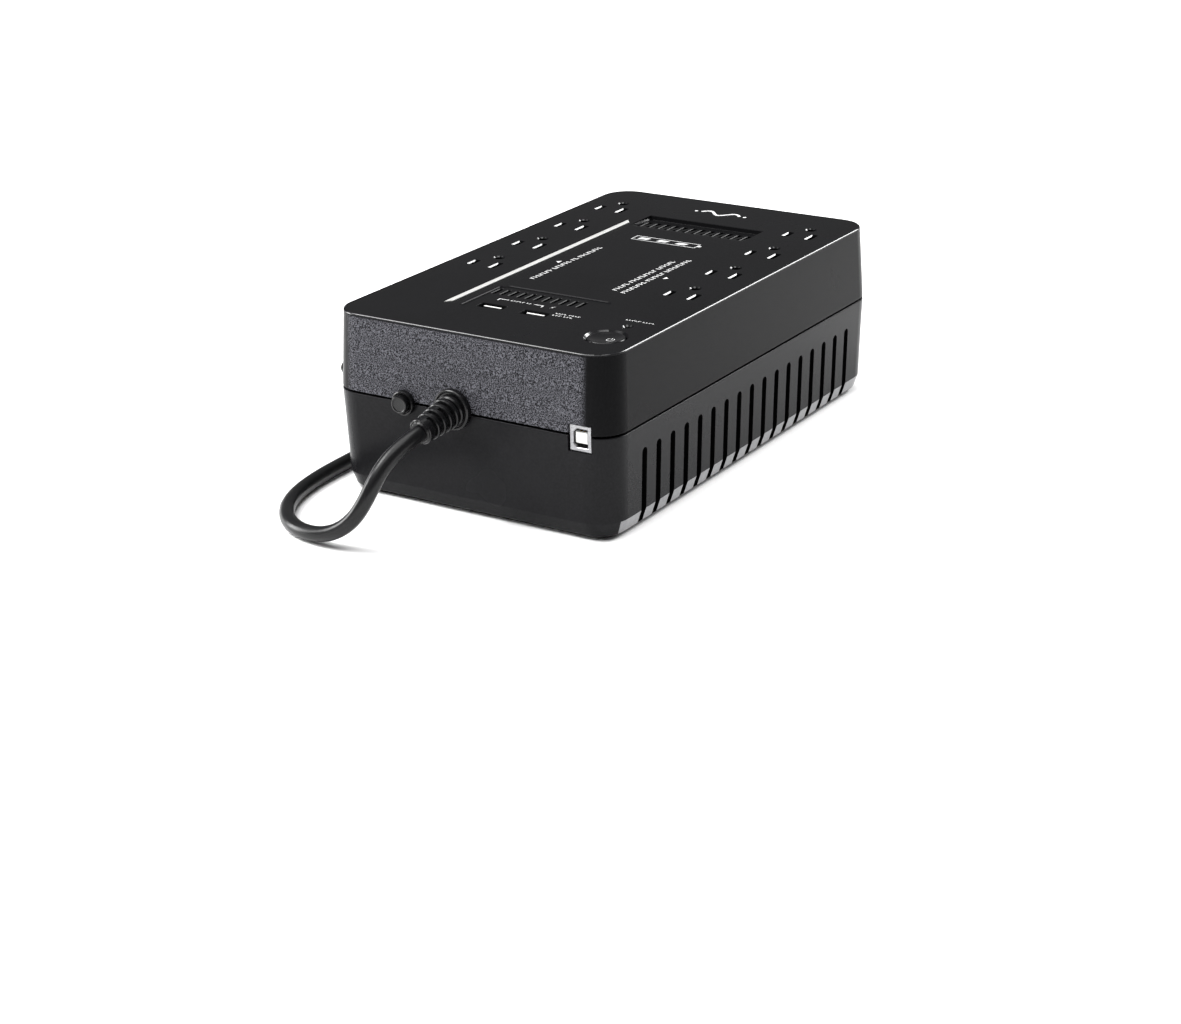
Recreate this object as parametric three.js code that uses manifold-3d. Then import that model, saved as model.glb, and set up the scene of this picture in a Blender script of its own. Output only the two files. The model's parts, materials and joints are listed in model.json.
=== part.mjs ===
// Desktop uninterruptible power supply: a two-part black case with eight grounded outlets, two charging ports,
// a data port, a resettable breaker, a power button, a battery behind a sliding door and a captive mains lead.
// Millimetres, +Z up. The lead leaves the -Y end. Z = 0 is the surface that the feet stand on.
import * as THREE from 'three';
import { mergeVertices } from 'three/addons/utils/BufferGeometryUtils.js';
import Module from 'manifold-3d';

const wasm = await Module();
wasm.setup();

// ---- Driving dimensions ----
const GAP = 0.3; // clearance left between pieces that touch
const FOOT_PROUD = 1;
const SEAM_Z = 49.3;
const TOP_Z = 86;
const SEAM_GAP = 1.1;
const SEAM = { width: 150.6, length: 251 };
const TOP = { width: 147.8, length: 247.1 };
const BASE = { width: 148, length: 248.6, z: 8.7 };
const FACET = { inset: 2.2, z: 2.4 };
const SOLE_INSET = 3.9;
const CORNER_RADIUS = 14.2;
const WALL = 2.5;
const CEILING_Z = TOP_Z - WALL;
const FLOOR_Z = FOOT_PROUD + WALL;
const END_Y = -SEAM.length / 2;

const VENT = { count: 17, firstY: -96.8, pitch: 12.13, width: 4.2, topZ: 38, bottomZ: 2.6, depthX: 66 };
const OUTLET = { rows: 4, firstY: -28.9, pitch: 38.1, columnX: 54.5, bladeX: 6.35, groundY: 12 };
const BLADE_SLOT = { width: 2.4, hot: 7.4, neutral: 9, flare: 0.6 };
const GROUND_RADIUS = 2.6;
const STRIPE = { x: -34.2, width: 3.1, nearY: -89.5, farY: 71, slant: 3, depth: 1, proud: 0.3 };
const PANEL = { left: -26.6, right: 33.7, near: -96.4, nearLeft: -91.4, far: -54, depth: 0.5, radius: 4 };
const PANEL_Z = TOP_Z - PANEL.depth;
const NEAR_GRILLE = { count: 11, firstX: -24.4, pitch: 4.6, width: 2, near: -66.5, far: -58 };
const FAR_GRILLE = { count: 12, firstX: -25.3, pitch: 5.16, width: 2.6, near: 64.5, far: 77.5 };
const SCOOP = { left: -30, right: 35, near: 62, far: 84, depth: 2.2 };
const CHARGE_PORT = { xs: [-13.3, 9.9], y: -83.2, width: 13.2, height: 5.8, depth: 12, tongueY: 0.7 };
const DATA_PORT = { x: 59.4, z: 48, width: 10.7, height: 11.9, depth: 11.5, recess: 1 };
const BUTTON = { x: 56.8, y: -98.2, radius: 8.6, clearance: 0.35, dish: 1.1, travel: 1.5 };
const LED = { x: 57.4, y: -81, radius: 1.5 };
const BREAKER = { x: -33, radius: 4.2, proud: 5, collarRadius: 5.8, neckRadius: 5 };
const RELIEF = { x: -6, z: 50.8, collarRadius: 9.5, collarDepth: 3, neckRadius: 6.2, bootEnd: [-7, -150.7, 47.1] };
const BOSS = { x: 62, y: 108, radius: 4.2, jointZ: 38.3, hole: 1.8 };
const FOOT = { x: 56, y: 90, radius: 6, recess: 0.8 };
const DOOR = { halfWidth: 46, near: 2.3, lipZ: 7.7 };
const PARTITION = { near: -1, far: 1.5, top: 58 };
const CARRIER = { halfWidth: 8.9, near: -42, far: 103, bottom: 63.5, top: 82.9 };
const MAIN_BOARD = { x: 57, near: -117, far: -46, z: 60 };
const FRONT_BOARD = { left: -24, right: 66, near: -103, far: -72, z: 68 };
const BOARD = 1.6;
const CORD_RADIUS = 3.6;
const COIL = { x: -131, y: 30, inner: 29.6, outer: 44.4, topTurn: 40.7 };
const PLUG = { startY: 66.6, endY: 102, halfWidth: 13, halfHeight: 10, z: 10.4 };

// The whole case is moved along Y so that the origin is under the middle of the case with its breaker button.
const CASE_SHIFT_Y = BREAKER.proud / 2;

// The lead from the strain relief down to the surface, round the corner and along the side to the coil.
const LEAD_ROUTE = [
  [-7, -151.6, 46.9], [-7.9, -158.9, 45.2], [-9.6, -166.5, 41.8], [-11.5, -173, 36.7], [-13.3, -177.8, 29.9],
  [-16.2, -180.7, 22.5], [-20.6, -182.5, 15.5], [-26.9, -183.6, 9.9], [-34.5, -184, 6.2], [-43.2, -183.5, 4.3],
  [-52.9, -181.1, 3.7], [-62.5, -175.7, 3.7], [-70.9, -167.2, 3.7], [-77.5, -156.1, 3.7], [-82.2, -141.9, 3.7],
  [-84.8, -125.1, 3.7], [-86, -100, 3.7], [-86.5, -60, 3.7], [-86.6, -25, 3.7], [-86.6, 4.3, 3.7],
];
const TAIL_ROUTE = [[-90.3, 61, 10.2], [-90.3, 63.5, 10.3], [-90.3, 66.2, 10.4]];

// ---- Finishes ----
const finish = (color, roughness, metalness = 0) => new THREE.MeshStandardMaterial({ color, roughness, metalness });
const BLACK_CASE = [0x18181a, 0.5];
const FINISHES = {
  cover: BLACK_CASE, case: BLACK_CASE, stripe: [0xdcdcd6, 0.35], button: [0x101012, 0.25], lens: [0xd8e8ff, 0.2],
  rubber: [0x0c0c0d, 0.6], cord: [0x0e0e0f, 0.5], nickel: [0xd0d0cc, 0.25, 1], white: [0xe8e8e4, 0.4],
  steel: [0x9a9a98, 0.4, 1], brass: [0xc9a24a, 0.35, 1], board: [0x1f5a33, 0.5], copper: [0xa85a2a, 0.4, 1],
  battery: [0x3a3c40, 0.5], red: [0xa01414, 0.5], aluminium: [0xb8babc, 0.4, 1], insulator: [0x202124, 0.6],
  glass: [0xd8dcdc, 0.1],
};

// ---- Solids ----
const UP = new THREE.Vector3(0, 1, 0);

function solidOf(geometry) {
  const bare = geometry.clone();
  bare.deleteAttribute('normal');
  bare.deleteAttribute('uv');
  const merged = mergeVertices(bare, 1e-4);
  const index = Array.from(merged.index.array);
  const kept = [];
  for (let i = 0; i < index.length; i += 3) {
    const [a, b, c] = index.slice(i, i + 3);
    if (a !== b && b !== c && c !== a) kept.push(a, b, c);
  }
  const vertProperties = new Float32Array(merged.attributes.position.array);
  return new wasm.Manifold(new wasm.Mesh({ numProp: 3, vertProperties, triVerts: new Uint32Array(kept) }));
}

function geometryOf(solid) {
  const mesh = solid.getMesh();
  const geometry = new THREE.BufferGeometry();
  geometry.setAttribute('position', new THREE.BufferAttribute(new Float32Array(mesh.vertProperties), 3));
  geometry.setIndex(new THREE.BufferAttribute(new Uint32Array(mesh.triVerts), 1));
  geometry.computeVertexNormals();
  return geometry;
}

const joined = (first, ...others) => others.reduce((sum, next) => sum.add(next), first);
const cut = (first, ...others) => others.reduce((rest, next) => rest.subtract(next), first);

function block([x0, x1], [y0, y1], [z0, z1]) {
  const geometry = new THREE.BoxGeometry(x1 - x0, y1 - y0, z1 - z0);
  geometry.translate((x0 + x1) / 2, (y0 + y1) / 2, (z0 + z1) / 2);
  return solidOf(geometry);
}

// A lathed profile of [radius, distance] pairs, standing at `from` and pointing towards `towards`.
function turned(profile, from, towards, sides = 20) {
  const points = profile.map(([radius, along]) => new THREE.Vector2(radius, along));
  const geometry = new THREE.LatheGeometry(points, sides);
  const start = new THREE.Vector3(...from);
  const direction = new THREE.Vector3(...towards).sub(start).normalize();
  geometry.applyQuaternion(new THREE.Quaternion().setFromUnitVectors(UP, direction));
  geometry.translate(...from);
  return solidOf(geometry);
}

function rod(radius, from, to, sides = 16) {
  const length = new THREE.Vector3(...from).distanceTo(new THREE.Vector3(...to));
  return turned([[0, 0], [radius, 0], [radius, length], [0, length]], from, to, sides);
}

// A flat outline in X and Y, raised between two heights.
function prism(outline, z0, z1) {
  const shape = new THREE.Shape(outline.map(([x, y]) => new THREE.Vector2(x, y)));
  const geometry = new THREE.ExtrudeGeometry(shape, { depth: z1 - z0, bevelEnabled: false });
  geometry.translate(0, 0, z0);
  return solidOf(geometry);
}

function roundedOutline(halfWidth, halfLength, radius, x = 0, y = 0, steps = 5) {
  const outline = [];
  for (let corner = 0; corner < 4; corner += 1) {
    const centreX = (corner === 0 || corner === 3 ? 1 : -1) * (halfWidth - radius);
    const centreY = (corner < 2 ? 1 : -1) * (halfLength - radius);
    for (let i = 0; i <= steps; i += 1) {
      const angle = (corner + i / steps) * (Math.PI / 2);
      outline.push([x + centreX + radius * Math.cos(angle), y + centreY + radius * Math.sin(angle)]);
    }
  }
  return outline;
}

// Rounded rectangles stacked in height and skinned into one closed body.
function loft(rings) {
  const count = rings[0].outline.length;
  const positions = rings.flatMap(({ outline, z }) => outline.flatMap(([x, y]) => [x, y, z]));
  const index = [];
  for (let level = 0; level + 1 < rings.length; level += 1) {
    for (let i = 0; i < count; i += 1) {
      const a = level * count + i;
      const b = level * count + ((i + 1) % count);
      index.push(a, b, b + count, a, b + count, a + count);
    }
  }
  const top = (rings.length - 1) * count;
  for (let i = 1; i + 1 < count; i += 1) {
    index.push(0, i + 1, i, top, top + i, top + i + 1);
  }
  const geometry = new THREE.BufferGeometry();
  geometry.setAttribute('position', new THREE.Float32BufferAttribute(positions, 3));
  geometry.setIndex(index);
  return solidOf(geometry);
}

function tube(route, radius, sides = 10, spacing = 12) {
  const curve = new THREE.CatmullRomCurve3(route.map((point) => new THREE.Vector3(...point)), false, 'centripetal');
  const section = [];
  for (let i = 0; i < sides; i += 1) {
    const angle = (i / sides) * 2 * Math.PI;
    section.push(new THREE.Vector2(radius * Math.cos(angle), radius * Math.sin(angle)));
  }
  const steps = Math.max(2, Math.round(curve.getLength() / spacing));
  const options = { steps, extrudePath: curve, bevelEnabled: false };
  return solidOf(new THREE.ExtrudeGeometry(new THREE.Shape(section), options));
}

// ---- The case's outer form ----
const between = (a, b, t) => a + (b - a) * t;

function formRing(low, high, lowZ, highZ, z, inset) {
  const t = (z - lowZ) / (highZ - lowZ);
  const halfWidth = between(low.width, high.width, t) / 2 - inset;
  const halfLength = between(low.length, high.length, t) / 2 - inset;
  return { outline: roundedOutline(halfWidth, halfLength, CORNER_RADIUS - inset), z };
}

const coverRing = (z, inset) => formRing(SEAM, TOP, SEAM_Z, TOP_Z, z, inset);
const caseRing = (z, inset) => formRing(BASE, SEAM, BASE.z, SEAM_Z, z, inset);

// Below the shoulder at BASE.z the wall leans in, first in a steep facet and then in a narrow one down to the sole.
const baseRing = (z, inset) => ({ outline: caseRing(BASE.z, inset).outline, z });

function caseForm() {
  const rim = SEAM_Z - SEAM_GAP / 2;
  return loft([baseRing(FOOT_PROUD, SOLE_INSET), baseRing(FACET.z, FACET.inset), caseRing(BASE.z, 0),
    caseRing(rim - 0.9, 0), caseRing(rim, 0.6)]);
}

function caseHollow() {
  return loft([baseRing(FLOOR_Z, FACET.inset + WALL - 0.4), caseRing(BASE.z, WALL), caseRing(SEAM_Z + 10, WALL)]);
}

// ---- Openings through the near end, shared by both halves of the case ----
const atSeam = (x, y) => [x, y, SEAM_Z];
const atRelief = (y) => [RELIEF.x, y, RELIEF.z];

function endOpenings() {
  const through = [END_Y - 5, END_Y + 8];
  const { x, z, width, height } = DATA_PORT;
  const halfWidth = width / 2 + 2 * GAP;
  const halfHeight = height / 2 + GAP;
  return [
    rod(BREAKER.neckRadius + GAP, atSeam(BREAKER.x, through[0]), atSeam(BREAKER.x, through[1])),
    rod(RELIEF.neckRadius + GAP, atRelief(through[0]), atRelief(through[1])),
    block([x - halfWidth, x + halfWidth], through, [z - halfHeight, z + halfHeight]),
  ];
}

// ---- Top cover ----
const outletYs = Array.from({ length: OUTLET.rows }, (_, row) => OUTLET.firstY + row * OUTLET.pitch);
const outletXs = [-OUTLET.columnX, OUTLET.columnX];

function flaredSlot(x, y, length) {
  const half = [BLADE_SLOT.width / 2, length / 2];
  const flare = BLADE_SLOT.flare;
  const outline = (grow) => [
    [x + half[0] + grow, y + half[1] + grow], [x - half[0] - grow, y + half[1] + grow],
    [x - half[0] - grow, y - half[1] - grow], [x + half[0] + grow, y - half[1] - grow],
  ];
  return loft([
    { outline: outline(0), z: CEILING_Z - 1 }, { outline: outline(0), z: TOP_Z - flare },
    { outline: outline(flare), z: TOP_Z }, { outline: outline(flare), z: TOP_Z + 1 },
  ]);
}

function outletOpenings() {
  return outletXs.flatMap((x) => outletYs.flatMap((y) => [
    flaredSlot(x - OUTLET.bladeX, y, BLADE_SLOT.hot),
    flaredSlot(x + OUTLET.bladeX, y, BLADE_SLOT.neutral),
    rod(GROUND_RADIUS, [x, y + OUTLET.groundY, CEILING_Z - 1], [x, y + OUTLET.groundY, TOP_Z + 1], 12),
  ]));
}

function grille({ count, firstX, pitch, width, near, far }) {
  return Array.from({ length: count }, (_, i) => {
    const x = firstX + i * pitch;
    return block([x - width / 2, x + width / 2], [near, far], [CEILING_Z - 5, TOP_Z + 1]);
  });
}

function stripeOutline(margin) {
  const left = STRIPE.x - STRIPE.width / 2 - margin;
  const right = STRIPE.x + STRIPE.width / 2 + margin;
  return [
    [right, STRIPE.nearY + STRIPE.slant - margin], [right, STRIPE.farY - STRIPE.slant + margin],
    [left, STRIPE.farY + margin], [left, STRIPE.nearY - margin],
  ];
}

// The shallow panel round the charging ports, with a corner stepped back at its near left.
function portPanel() {
  const { left, right, near, nearLeft, far, radius } = PANEL;
  const outline = roundedOutline((right - left) / 2, (far - near) / 2, radius, (right + left) / 2, (far + near) / 2);
  const step = [[left - 1, near - 1], [8, near - 1], [8, near], [-6, nearLeft], [left - 1, nearLeft + 0.6]];
  return cut(prism(outline, PANEL_Z, TOP_Z + 1), prism(step, PANEL_Z - 1, TOP_Z + 2));
}

// The far grille lies in a scoop that slopes down from the surface to a wall at its far side.
function scoop() {
  const { left, right, near, far, depth } = SCOOP;
  const wedge = [[near, 1], [near, 0], [far, -depth], [far, 1]];
  const shape = new THREE.Shape(wedge.map(([y, z]) => new THREE.Vector2(y, z)));
  const geometry = new THREE.ExtrudeGeometry(shape, { depth: right - left, bevelEnabled: false });
  geometry.applyMatrix4(new THREE.Matrix4().makeBasis(
    new THREE.Vector3(0, 1, 0), new THREE.Vector3(0, 0, 1), new THREE.Vector3(1, 0, 0),
  ));
  geometry.translate(left, 0, TOP_Z);
  return solidOf(geometry);
}

function topCover() {
  const lowZ = SEAM_Z + SEAM_GAP / 2;
  const shell = cut(
    loft([coverRing(lowZ, 0), coverRing(TOP_Z - 1.2, 0), coverRing(TOP_Z - 0.4, 0.3), coverRing(TOP_Z, 1.1)]),
    loft([coverRing(lowZ - 1, WALL), coverRing(CEILING_Z, WALL)]),
  );
  const bosses = [-1, 1].flatMap((sx) => [-1, 1].map((sy) => (
    rod(BOSS.radius, [sx * BOSS.x, sy * BOSS.y, BOSS.jointZ], [sx * BOSS.x, sy * BOSS.y, CEILING_Z + 1])
  )));
  const bossHoles = [-1, 1].flatMap((sx) => [-1, 1].map((sy) => (
    rod(BOSS.hole, [sx * BOSS.x, sy * BOSS.y, BOSS.jointZ - 1], [sx * BOSS.x, sy * BOSS.y, BOSS.jointZ + 14], 12)
  )));
  const scoopPad = block([SCOOP.left - 2, SCOOP.right + 2], [SCOOP.near - 2, SCOOP.far + 2], [80.8, TOP_Z - 1]);
  const wellRadius = BUTTON.radius + BUTTON.clearance;
  const well = rod(wellRadius + 1.4, [BUTTON.x, BUTTON.y, 77], [BUTTON.x, BUTTON.y, CEILING_Z + 1], 24);
  const boardPosts = [[-21, -76], [-21, -100], [38, -100]].map(([x, y]) => (
    rod(2.4, [x, y, FRONT_BOARD.z + BOARD + GAP], [x, y, CEILING_Z + 1], 12)
  ));
  const ports = CHARGE_PORT.xs.map((x) => block([x - CHARGE_PORT.width / 2, x + CHARGE_PORT.width / 2],
    [CHARGE_PORT.y - CHARGE_PORT.height / 2, CHARGE_PORT.y + CHARGE_PORT.height / 2], [CEILING_Z - 1, TOP_Z + 1]));
  return cut(
    joined(shell, ...bosses, scoopPad, well, ...boardPosts),
    ...bossHoles,
    ...endOpenings(),
    ...outletOpenings(),
    portPanel(),
    ...grille(NEAR_GRILLE),
    scoop(),
    ...grille(FAR_GRILLE),
    prism(stripeOutline(GAP / 2), TOP_Z - STRIPE.depth, TOP_Z + 1),
    ...ports,
    rod(wellRadius, [BUTTON.x, BUTTON.y, 76], [BUTTON.x, BUTTON.y, TOP_Z + 1], 24),
    rod(LED.radius + GAP, [LED.x, LED.y, CEILING_Z - 1], [LED.x, LED.y, TOP_Z + 1], 16),
  );
}

// ---- Bottom case ----
function vents() {
  const { count, firstY, pitch, width, topZ, bottomZ, depthX } = VENT;
  const radius = width / 2;
  const shape = new THREE.Shape();
  shape.moveTo(-radius, bottomZ);
  shape.lineTo(radius, bottomZ);
  shape.lineTo(radius, topZ - radius);
  shape.absarc(0, topZ - radius, radius, 0, Math.PI, false);
  const options = { depth: 20, bevelEnabled: false, curveSegments: 2 };
  const side = (sign, y) => {
    const geometry = new THREE.ExtrudeGeometry(shape, options);
    geometry.applyMatrix4(new THREE.Matrix4().makeBasis(
      new THREE.Vector3(0, 1, 0), new THREE.Vector3(0, 0, 1), new THREE.Vector3(1, 0, 0),
    ));
    geometry.translate(sign > 0 ? depthX : -depthX - options.depth, y, 0);
    return solidOf(geometry);
  };
  return Array.from({ length: count }, (_, i) => firstY + i * pitch).flatMap((y) => [side(1, y), side(-1, y)]);
}

function rimLip() {
  const lip = WALL + 2 * GAP;
  const outer = loft([caseRing(43.5, 1.5), caseRing(SEAM_Z - 0.8, 1.5), caseRing(SEAM_Z - 0.8, lip),
    caseRing(SEAM_Z + 3, lip)]);
  return cut(outer, loft([caseRing(40, lip + 1.2), caseRing(SEAM_Z + 5, lip + 1.2)]));
}

function doorOpening() {
  const halfWidth = DOOR.halfWidth + GAP;
  return [
    block([-halfWidth, halfWidth], [DOOR.near - GAP, 140], [0, FLOOR_Z + 0.1]),
    block([-halfWidth, halfWidth], [116, 140], [0, DOOR.lipZ + GAP]),
  ];
}

function bottomCase() {
  const shell = cut(caseForm(), caseHollow());
  const partition = block([-73, 73], [PARTITION.near, PARTITION.far], [FLOOR_Z - 1, SEAM_Z - 1]);
  const tallPartition = block([-60, 60], [PARTITION.near, PARTITION.far], [FLOOR_Z - 1, PARTITION.top]);
  const tubes = [-1, 1].flatMap((sx) => [-1, 1].map((sy) => (
    rod(4.9, [sx * BOSS.x, sy * BOSS.y, FLOOR_Z - 1], [sx * BOSS.x, sy * BOSS.y, BOSS.jointZ - GAP])
  )));
  const tubeHoles = [-1, 1].flatMap((sx) => [-1, 1].flatMap((sy) => [
    rod(3.3, [sx * BOSS.x, sy * BOSS.y, 0], [sx * BOSS.x, sy * BOSS.y, 24]),
    rod(BOSS.hole, [sx * BOSS.x, sy * BOSS.y, 23], [sx * BOSS.x, sy * BOSS.y, BOSS.jointZ + 1], 12),
  ]));
  const boardPosts = [[-53, -110], [45, -112], [-53, -52], [53, -52]].map(([x, y]) => (
    rod(3, [x, y, FLOOR_Z - 1], [x, y, MAIN_BOARD.z - GAP], 12)
  ));
  const footRecesses = [-1, 1].flatMap((sx) => [-1, 1].map((sy) => (
    rod(FOOT.radius + GAP, [sx * FOOT.x, sy * FOOT.y, 0], [sx * FOOT.x, sy * FOOT.y, FOOT_PROUD + FOOT.recess])
  )));
  return cut(
    joined(shell, rimLip(), partition, tallPartition, ...tubes, ...boardPosts),
    ...tubeHoles, ...footRecesses, ...vents(), ...endOpenings(), ...doorOpening(),
  );
}

function batteryDoor() {
  const slab = block([-DOOR.halfWidth, DOOR.halfWidth], [DOOR.near, 140], [0, DOOR.lipZ]);
  const grips = Array.from({ length: 5 }, (_, i) => (
    block([-16, 16], [12 + i * 4, 13.6 + i * 4], [0, FOOT_PROUD + 0.7])
  ));
  return cut(caseForm().intersect(slab), caseHollow(), ...grips);
}

function foot(sx, sy) {
  const x = sx * FOOT.x;
  const y = sy * FOOT.y;
  const top = FOOT_PROUD + FOOT.recess - GAP;
  return turned([[0, 0], [FOOT.radius - 0.5, 0], [FOOT.radius, 0.5], [FOOT.radius, top], [0, top]], [x, y, 0],
    [x, y, 1]);
}

function caseScrew(sx, sy) {
  const x = sx * BOSS.x;
  const y = sy * BOSS.y;
  const profile = [[0, 0], [2.6, 0], [2.9, 0.4], [2.9, 2.2], [1.5, 2.2], [1.5, 22], [0, 22]];
  const cross = [block([x - 1.7, x + 1.7], [y - 0.4, y + 0.4], [20, 22.6]),
    block([x - 0.4, x + 0.4], [y - 1.7, y + 1.7], [20, 22.6])];
  return cut(turned(profile, [x, y, 21.5], [x, y, 30], 16), ...cross);
}

// ---- Outlets ----
function outletCarrier(x) {
  const { halfWidth, near, far, bottom, top } = CARRIER;
  const channels = [[-8.15, -4.55], [-2.8, 2.8], [4.55, 8.15]].map(([left, right]) => (
    block([x + left, x + right], [near + 1.5, far - 1.5], [bottom + 2, top + 1])
  ));
  return cut(block([x - halfWidth, x + halfWidth], [near, far], [bottom, top]), ...channels);
}

// One long strip under a column of outlets, with a pair of spring leaves standing under each opening.
function busBar(x, offsetY, leafLength) {
  const base = CARRIER.bottom + 2 + GAP;
  const strip = block([x - 1.4, x + 1.4], [CARRIER.near + 3, CARRIER.far - 3], [base, base + 0.8]);
  const leaves = outletYs.flatMap((y) => [-1, 1].map((side) => {
    const inner = x + side * 0.8;
    const outer = x + side * 1.3;
    const span = [y + offsetY - leafLength / 2, y + offsetY + leafLength / 2];
    return block([Math.min(inner, outer), Math.max(inner, outer)], span, [base + 0.4, base + 12]);
  }));
  return joined(strip, ...leaves);
}

// ---- Controls and ports ----
function powerButton() {
  const { x, y, radius, dish } = BUTTON;
  const top = TOP_Z - 0.2;
  const profile = [[0, top - dish], [3, top - dish * 0.88], [5.5, top - dish * 0.55], [7.3, top - 0.15],
    [7.8, top], [radius - 0.2, top - 0.1], [radius, top - 0.5], [radius, 79], [2, 79], [2, 75.2], [0, 75.2]];
  return turned(profile.reverse(), [x, y, 0], [x, y, 1], 24);
}

function powerSwitch() {
  const z = FRONT_BOARD.z + BOARD + GAP;
  return joined(block([BUTTON.x - 3, BUTTON.x + 3], [BUTTON.y - 3, BUTTON.y + 3], [z, z + 2.4]),
    rod(1.7, [BUTTON.x, BUTTON.y, z + 2], [BUTTON.x, BUTTON.y, 73.3], 16));
}

function powerLed() {
  const z = FRONT_BOARD.z + BOARD + GAP;
  const { x, y, radius } = LED;
  const dome = [[0, z], [radius + 0.4, z], [radius + 0.4, z + 1], [radius, z + 1], [radius, TOP_Z - 1.3],
    [radius * 0.8, TOP_Z - 0.7], [radius * 0.4, TOP_Z - 0.4], [0, TOP_Z - 0.3]];
  return turned(dome, [x, y, 0], [x, y, 1], 16);
}

function chargePortShell(x) {
  const halfX = CHARGE_PORT.width / 2 - GAP;
  const halfY = CHARGE_PORT.height / 2 - GAP;
  const y = CHARGE_PORT.y;
  const bottom = FRONT_BOARD.z + BOARD + GAP;
  const wall = 0.4;
  return cut(
    block([x - halfX, x + halfX], [y - halfY, y + halfY], [bottom, PANEL_Z - 0.3]),
    block([x - halfX + wall, x + halfX - wall], [y - halfY + wall, y + halfY - wall], [bottom + 1, TOP_Z]),
  );
}

function chargePortTongue(x) {
  const y = CHARGE_PORT.y + CHARGE_PORT.tongueY;
  return block([x - 5.2, x + 5.2], [y - 0.9, y + 0.9], [FRONT_BOARD.z + BOARD + GAP + 1 + GAP, PANEL_Z - 0.5]);
}

function dataPortShell() {
  const { x, z, width, height, depth } = DATA_PORT;
  const wall = 1.7;
  const bevel = 1.8;
  const left = x - width / 2 + wall;
  const right = x + width / 2 - wall;
  const low = z - height / 2 + wall;
  const high = z + height / 2 - wall;
  const opening = [[right, high], [left + bevel, high], [left, high - bevel], [left, low + bevel],
    [left + bevel, low], [right, low]];
  const frontY = END_Y + DATA_PORT.recess;
  const body = block([x - width / 2, x + width / 2], [frontY, frontY + depth], [z - height / 2, z + height / 2]);
  return cut(body, endPrism(opening, frontY - 1, frontY + depth - 1));
}

// An outline in X and Z, extruded along +Y.
function endPrism(outline, y0, y1) {
  const shape = new THREE.Shape(outline.map(([x, z]) => new THREE.Vector2(x, z)));
  const geometry = new THREE.ExtrudeGeometry(shape, { depth: y1 - y0, bevelEnabled: false });
  geometry.rotateX(Math.PI / 2);
  geometry.translate(0, y1, 0);
  return solidOf(geometry);
}

function dataPortTongue() {
  const { x, z, depth, recess } = DATA_PORT;
  const back = END_Y + recess + depth - 1 - GAP;
  return joined(block([x - 1.8, x + 1.8], [END_Y + recess + 1, back], [z - 2.7, z + 2.7]),
    block([x - 3.2, x + 3.2], [back - 4, back], [z - 2.5, z + 2.5]));
}

function breakerBody() {
  const { x, radius, neckRadius } = BREAKER;
  const neck = rod(neckRadius, atSeam(x, END_Y - 2), atSeam(x, -118));
  const body = block([x - 7, x + 7], [-119.6, -96], [SEAM_Z - 9, SEAM_Z + 9]);
  return cut(joined(neck, body), rod(radius + GAP, atSeam(x, END_Y - 6), atSeam(x, -108)));
}

function breakerButton() {
  const { x, radius, proud } = BREAKER;
  const length = 14;
  const profile = [[0, 0], [radius - 0.8, 0], [radius, 0.8], [radius, length], [0, length]];
  return turned(profile, atSeam(x, END_Y - proud), atSeam(x, 0));
}

function breakerCollar() {
  const { x, neckRadius, collarRadius } = BREAKER;
  const start = END_Y - GAP;
  const profile = [[neckRadius + GAP, 0], [collarRadius, 0], [collarRadius, 1.8], [collarRadius - 0.4, 2.2],
    [neckRadius + GAP, 2.2], [neckRadius + GAP, 0]];
  return turned(profile, atSeam(x, start), atSeam(x, start - 1));
}

function strainRelief() {
  const { collarRadius, collarDepth, neckRadius, bootEnd } = RELIEF;
  const wallY = END_Y - GAP;
  const collar = turned([[0, 0], [collarRadius, 0], [collarRadius, collarDepth - 1],
    [collarRadius - 1, collarDepth], [0, collarDepth]], atRelief(wallY), atRelief(wallY - 1));
  const neck = rod(neckRadius, atRelief(wallY - 1), atRelief(-118.5));
  const flange = rod(8.6, atRelief(-120.4), atRelief(-118));
  const bootStart = atRelief(wallY - 1.5);
  const bootLength = new THREE.Vector3(...bootStart).distanceTo(new THREE.Vector3(...bootEnd));
  const rings = 5;
  const profile = [[0, 0], [7.4, 0]];
  for (let i = 0; i < rings; i += 1) {
    const start = 3.6 + i * 4;
    const radius = between(7.3, 5.6, i / (rings - 1));
    profile.push([radius - 1.5, start], [radius, start + 0.3], [radius, start + 2], [radius - 1.5, start + 2.3]);
  }
  profile.push([4.6, bootLength], [0, bootLength]);
  return joined(collar, neck, flange, turned(profile, bootStart, bootEnd));
}

// ---- Inside the case ----
function mainBoard() {
  const { x, near, far, z } = MAIN_BOARD;
  return block([-x, x], [near, far], [z, z + BOARD]);
}

function frontBoard() {
  const { left, right, near, far, z } = FRONT_BOARD;
  return block([left, right], [near, far], [z, z + BOARD]);
}

const CORE = { x: 13, y: -70, halfX: 33, halfY: 18, bottom: 4, top: 58, limb: 11, window: 11 };

function transformerCore() {
  const { x, y, halfX, halfY, bottom, top, limb, window } = CORE;
  const windows = [-1, 1].map((side) => {
    const edges = [x + side * limb, x + side * (limb + window)].sort((a, b) => a - b);
    return block(edges, [y - halfY - 1, y + halfY + 1], [bottom + limb, top - limb]);
  });
  return cut(block([x - halfX, x + halfX], [y - halfY, y + halfY], [bottom, top]), ...windows);
}

function transformerWinding() {
  const { x, y, halfY, bottom, top, limb, window } = CORE;
  const reach = limb + window - GAP;
  const outline = roundedOutline(reach, halfY + window - 2, 4, x, y, 3);
  const solid = prism(outline, bottom + limb + GAP, top - limb - GAP);
  return cut(solid, block([x - limb - GAP, x + limb + GAP], [y - halfY - GAP, y + halfY + GAP], [0, 80]));
}

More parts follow.
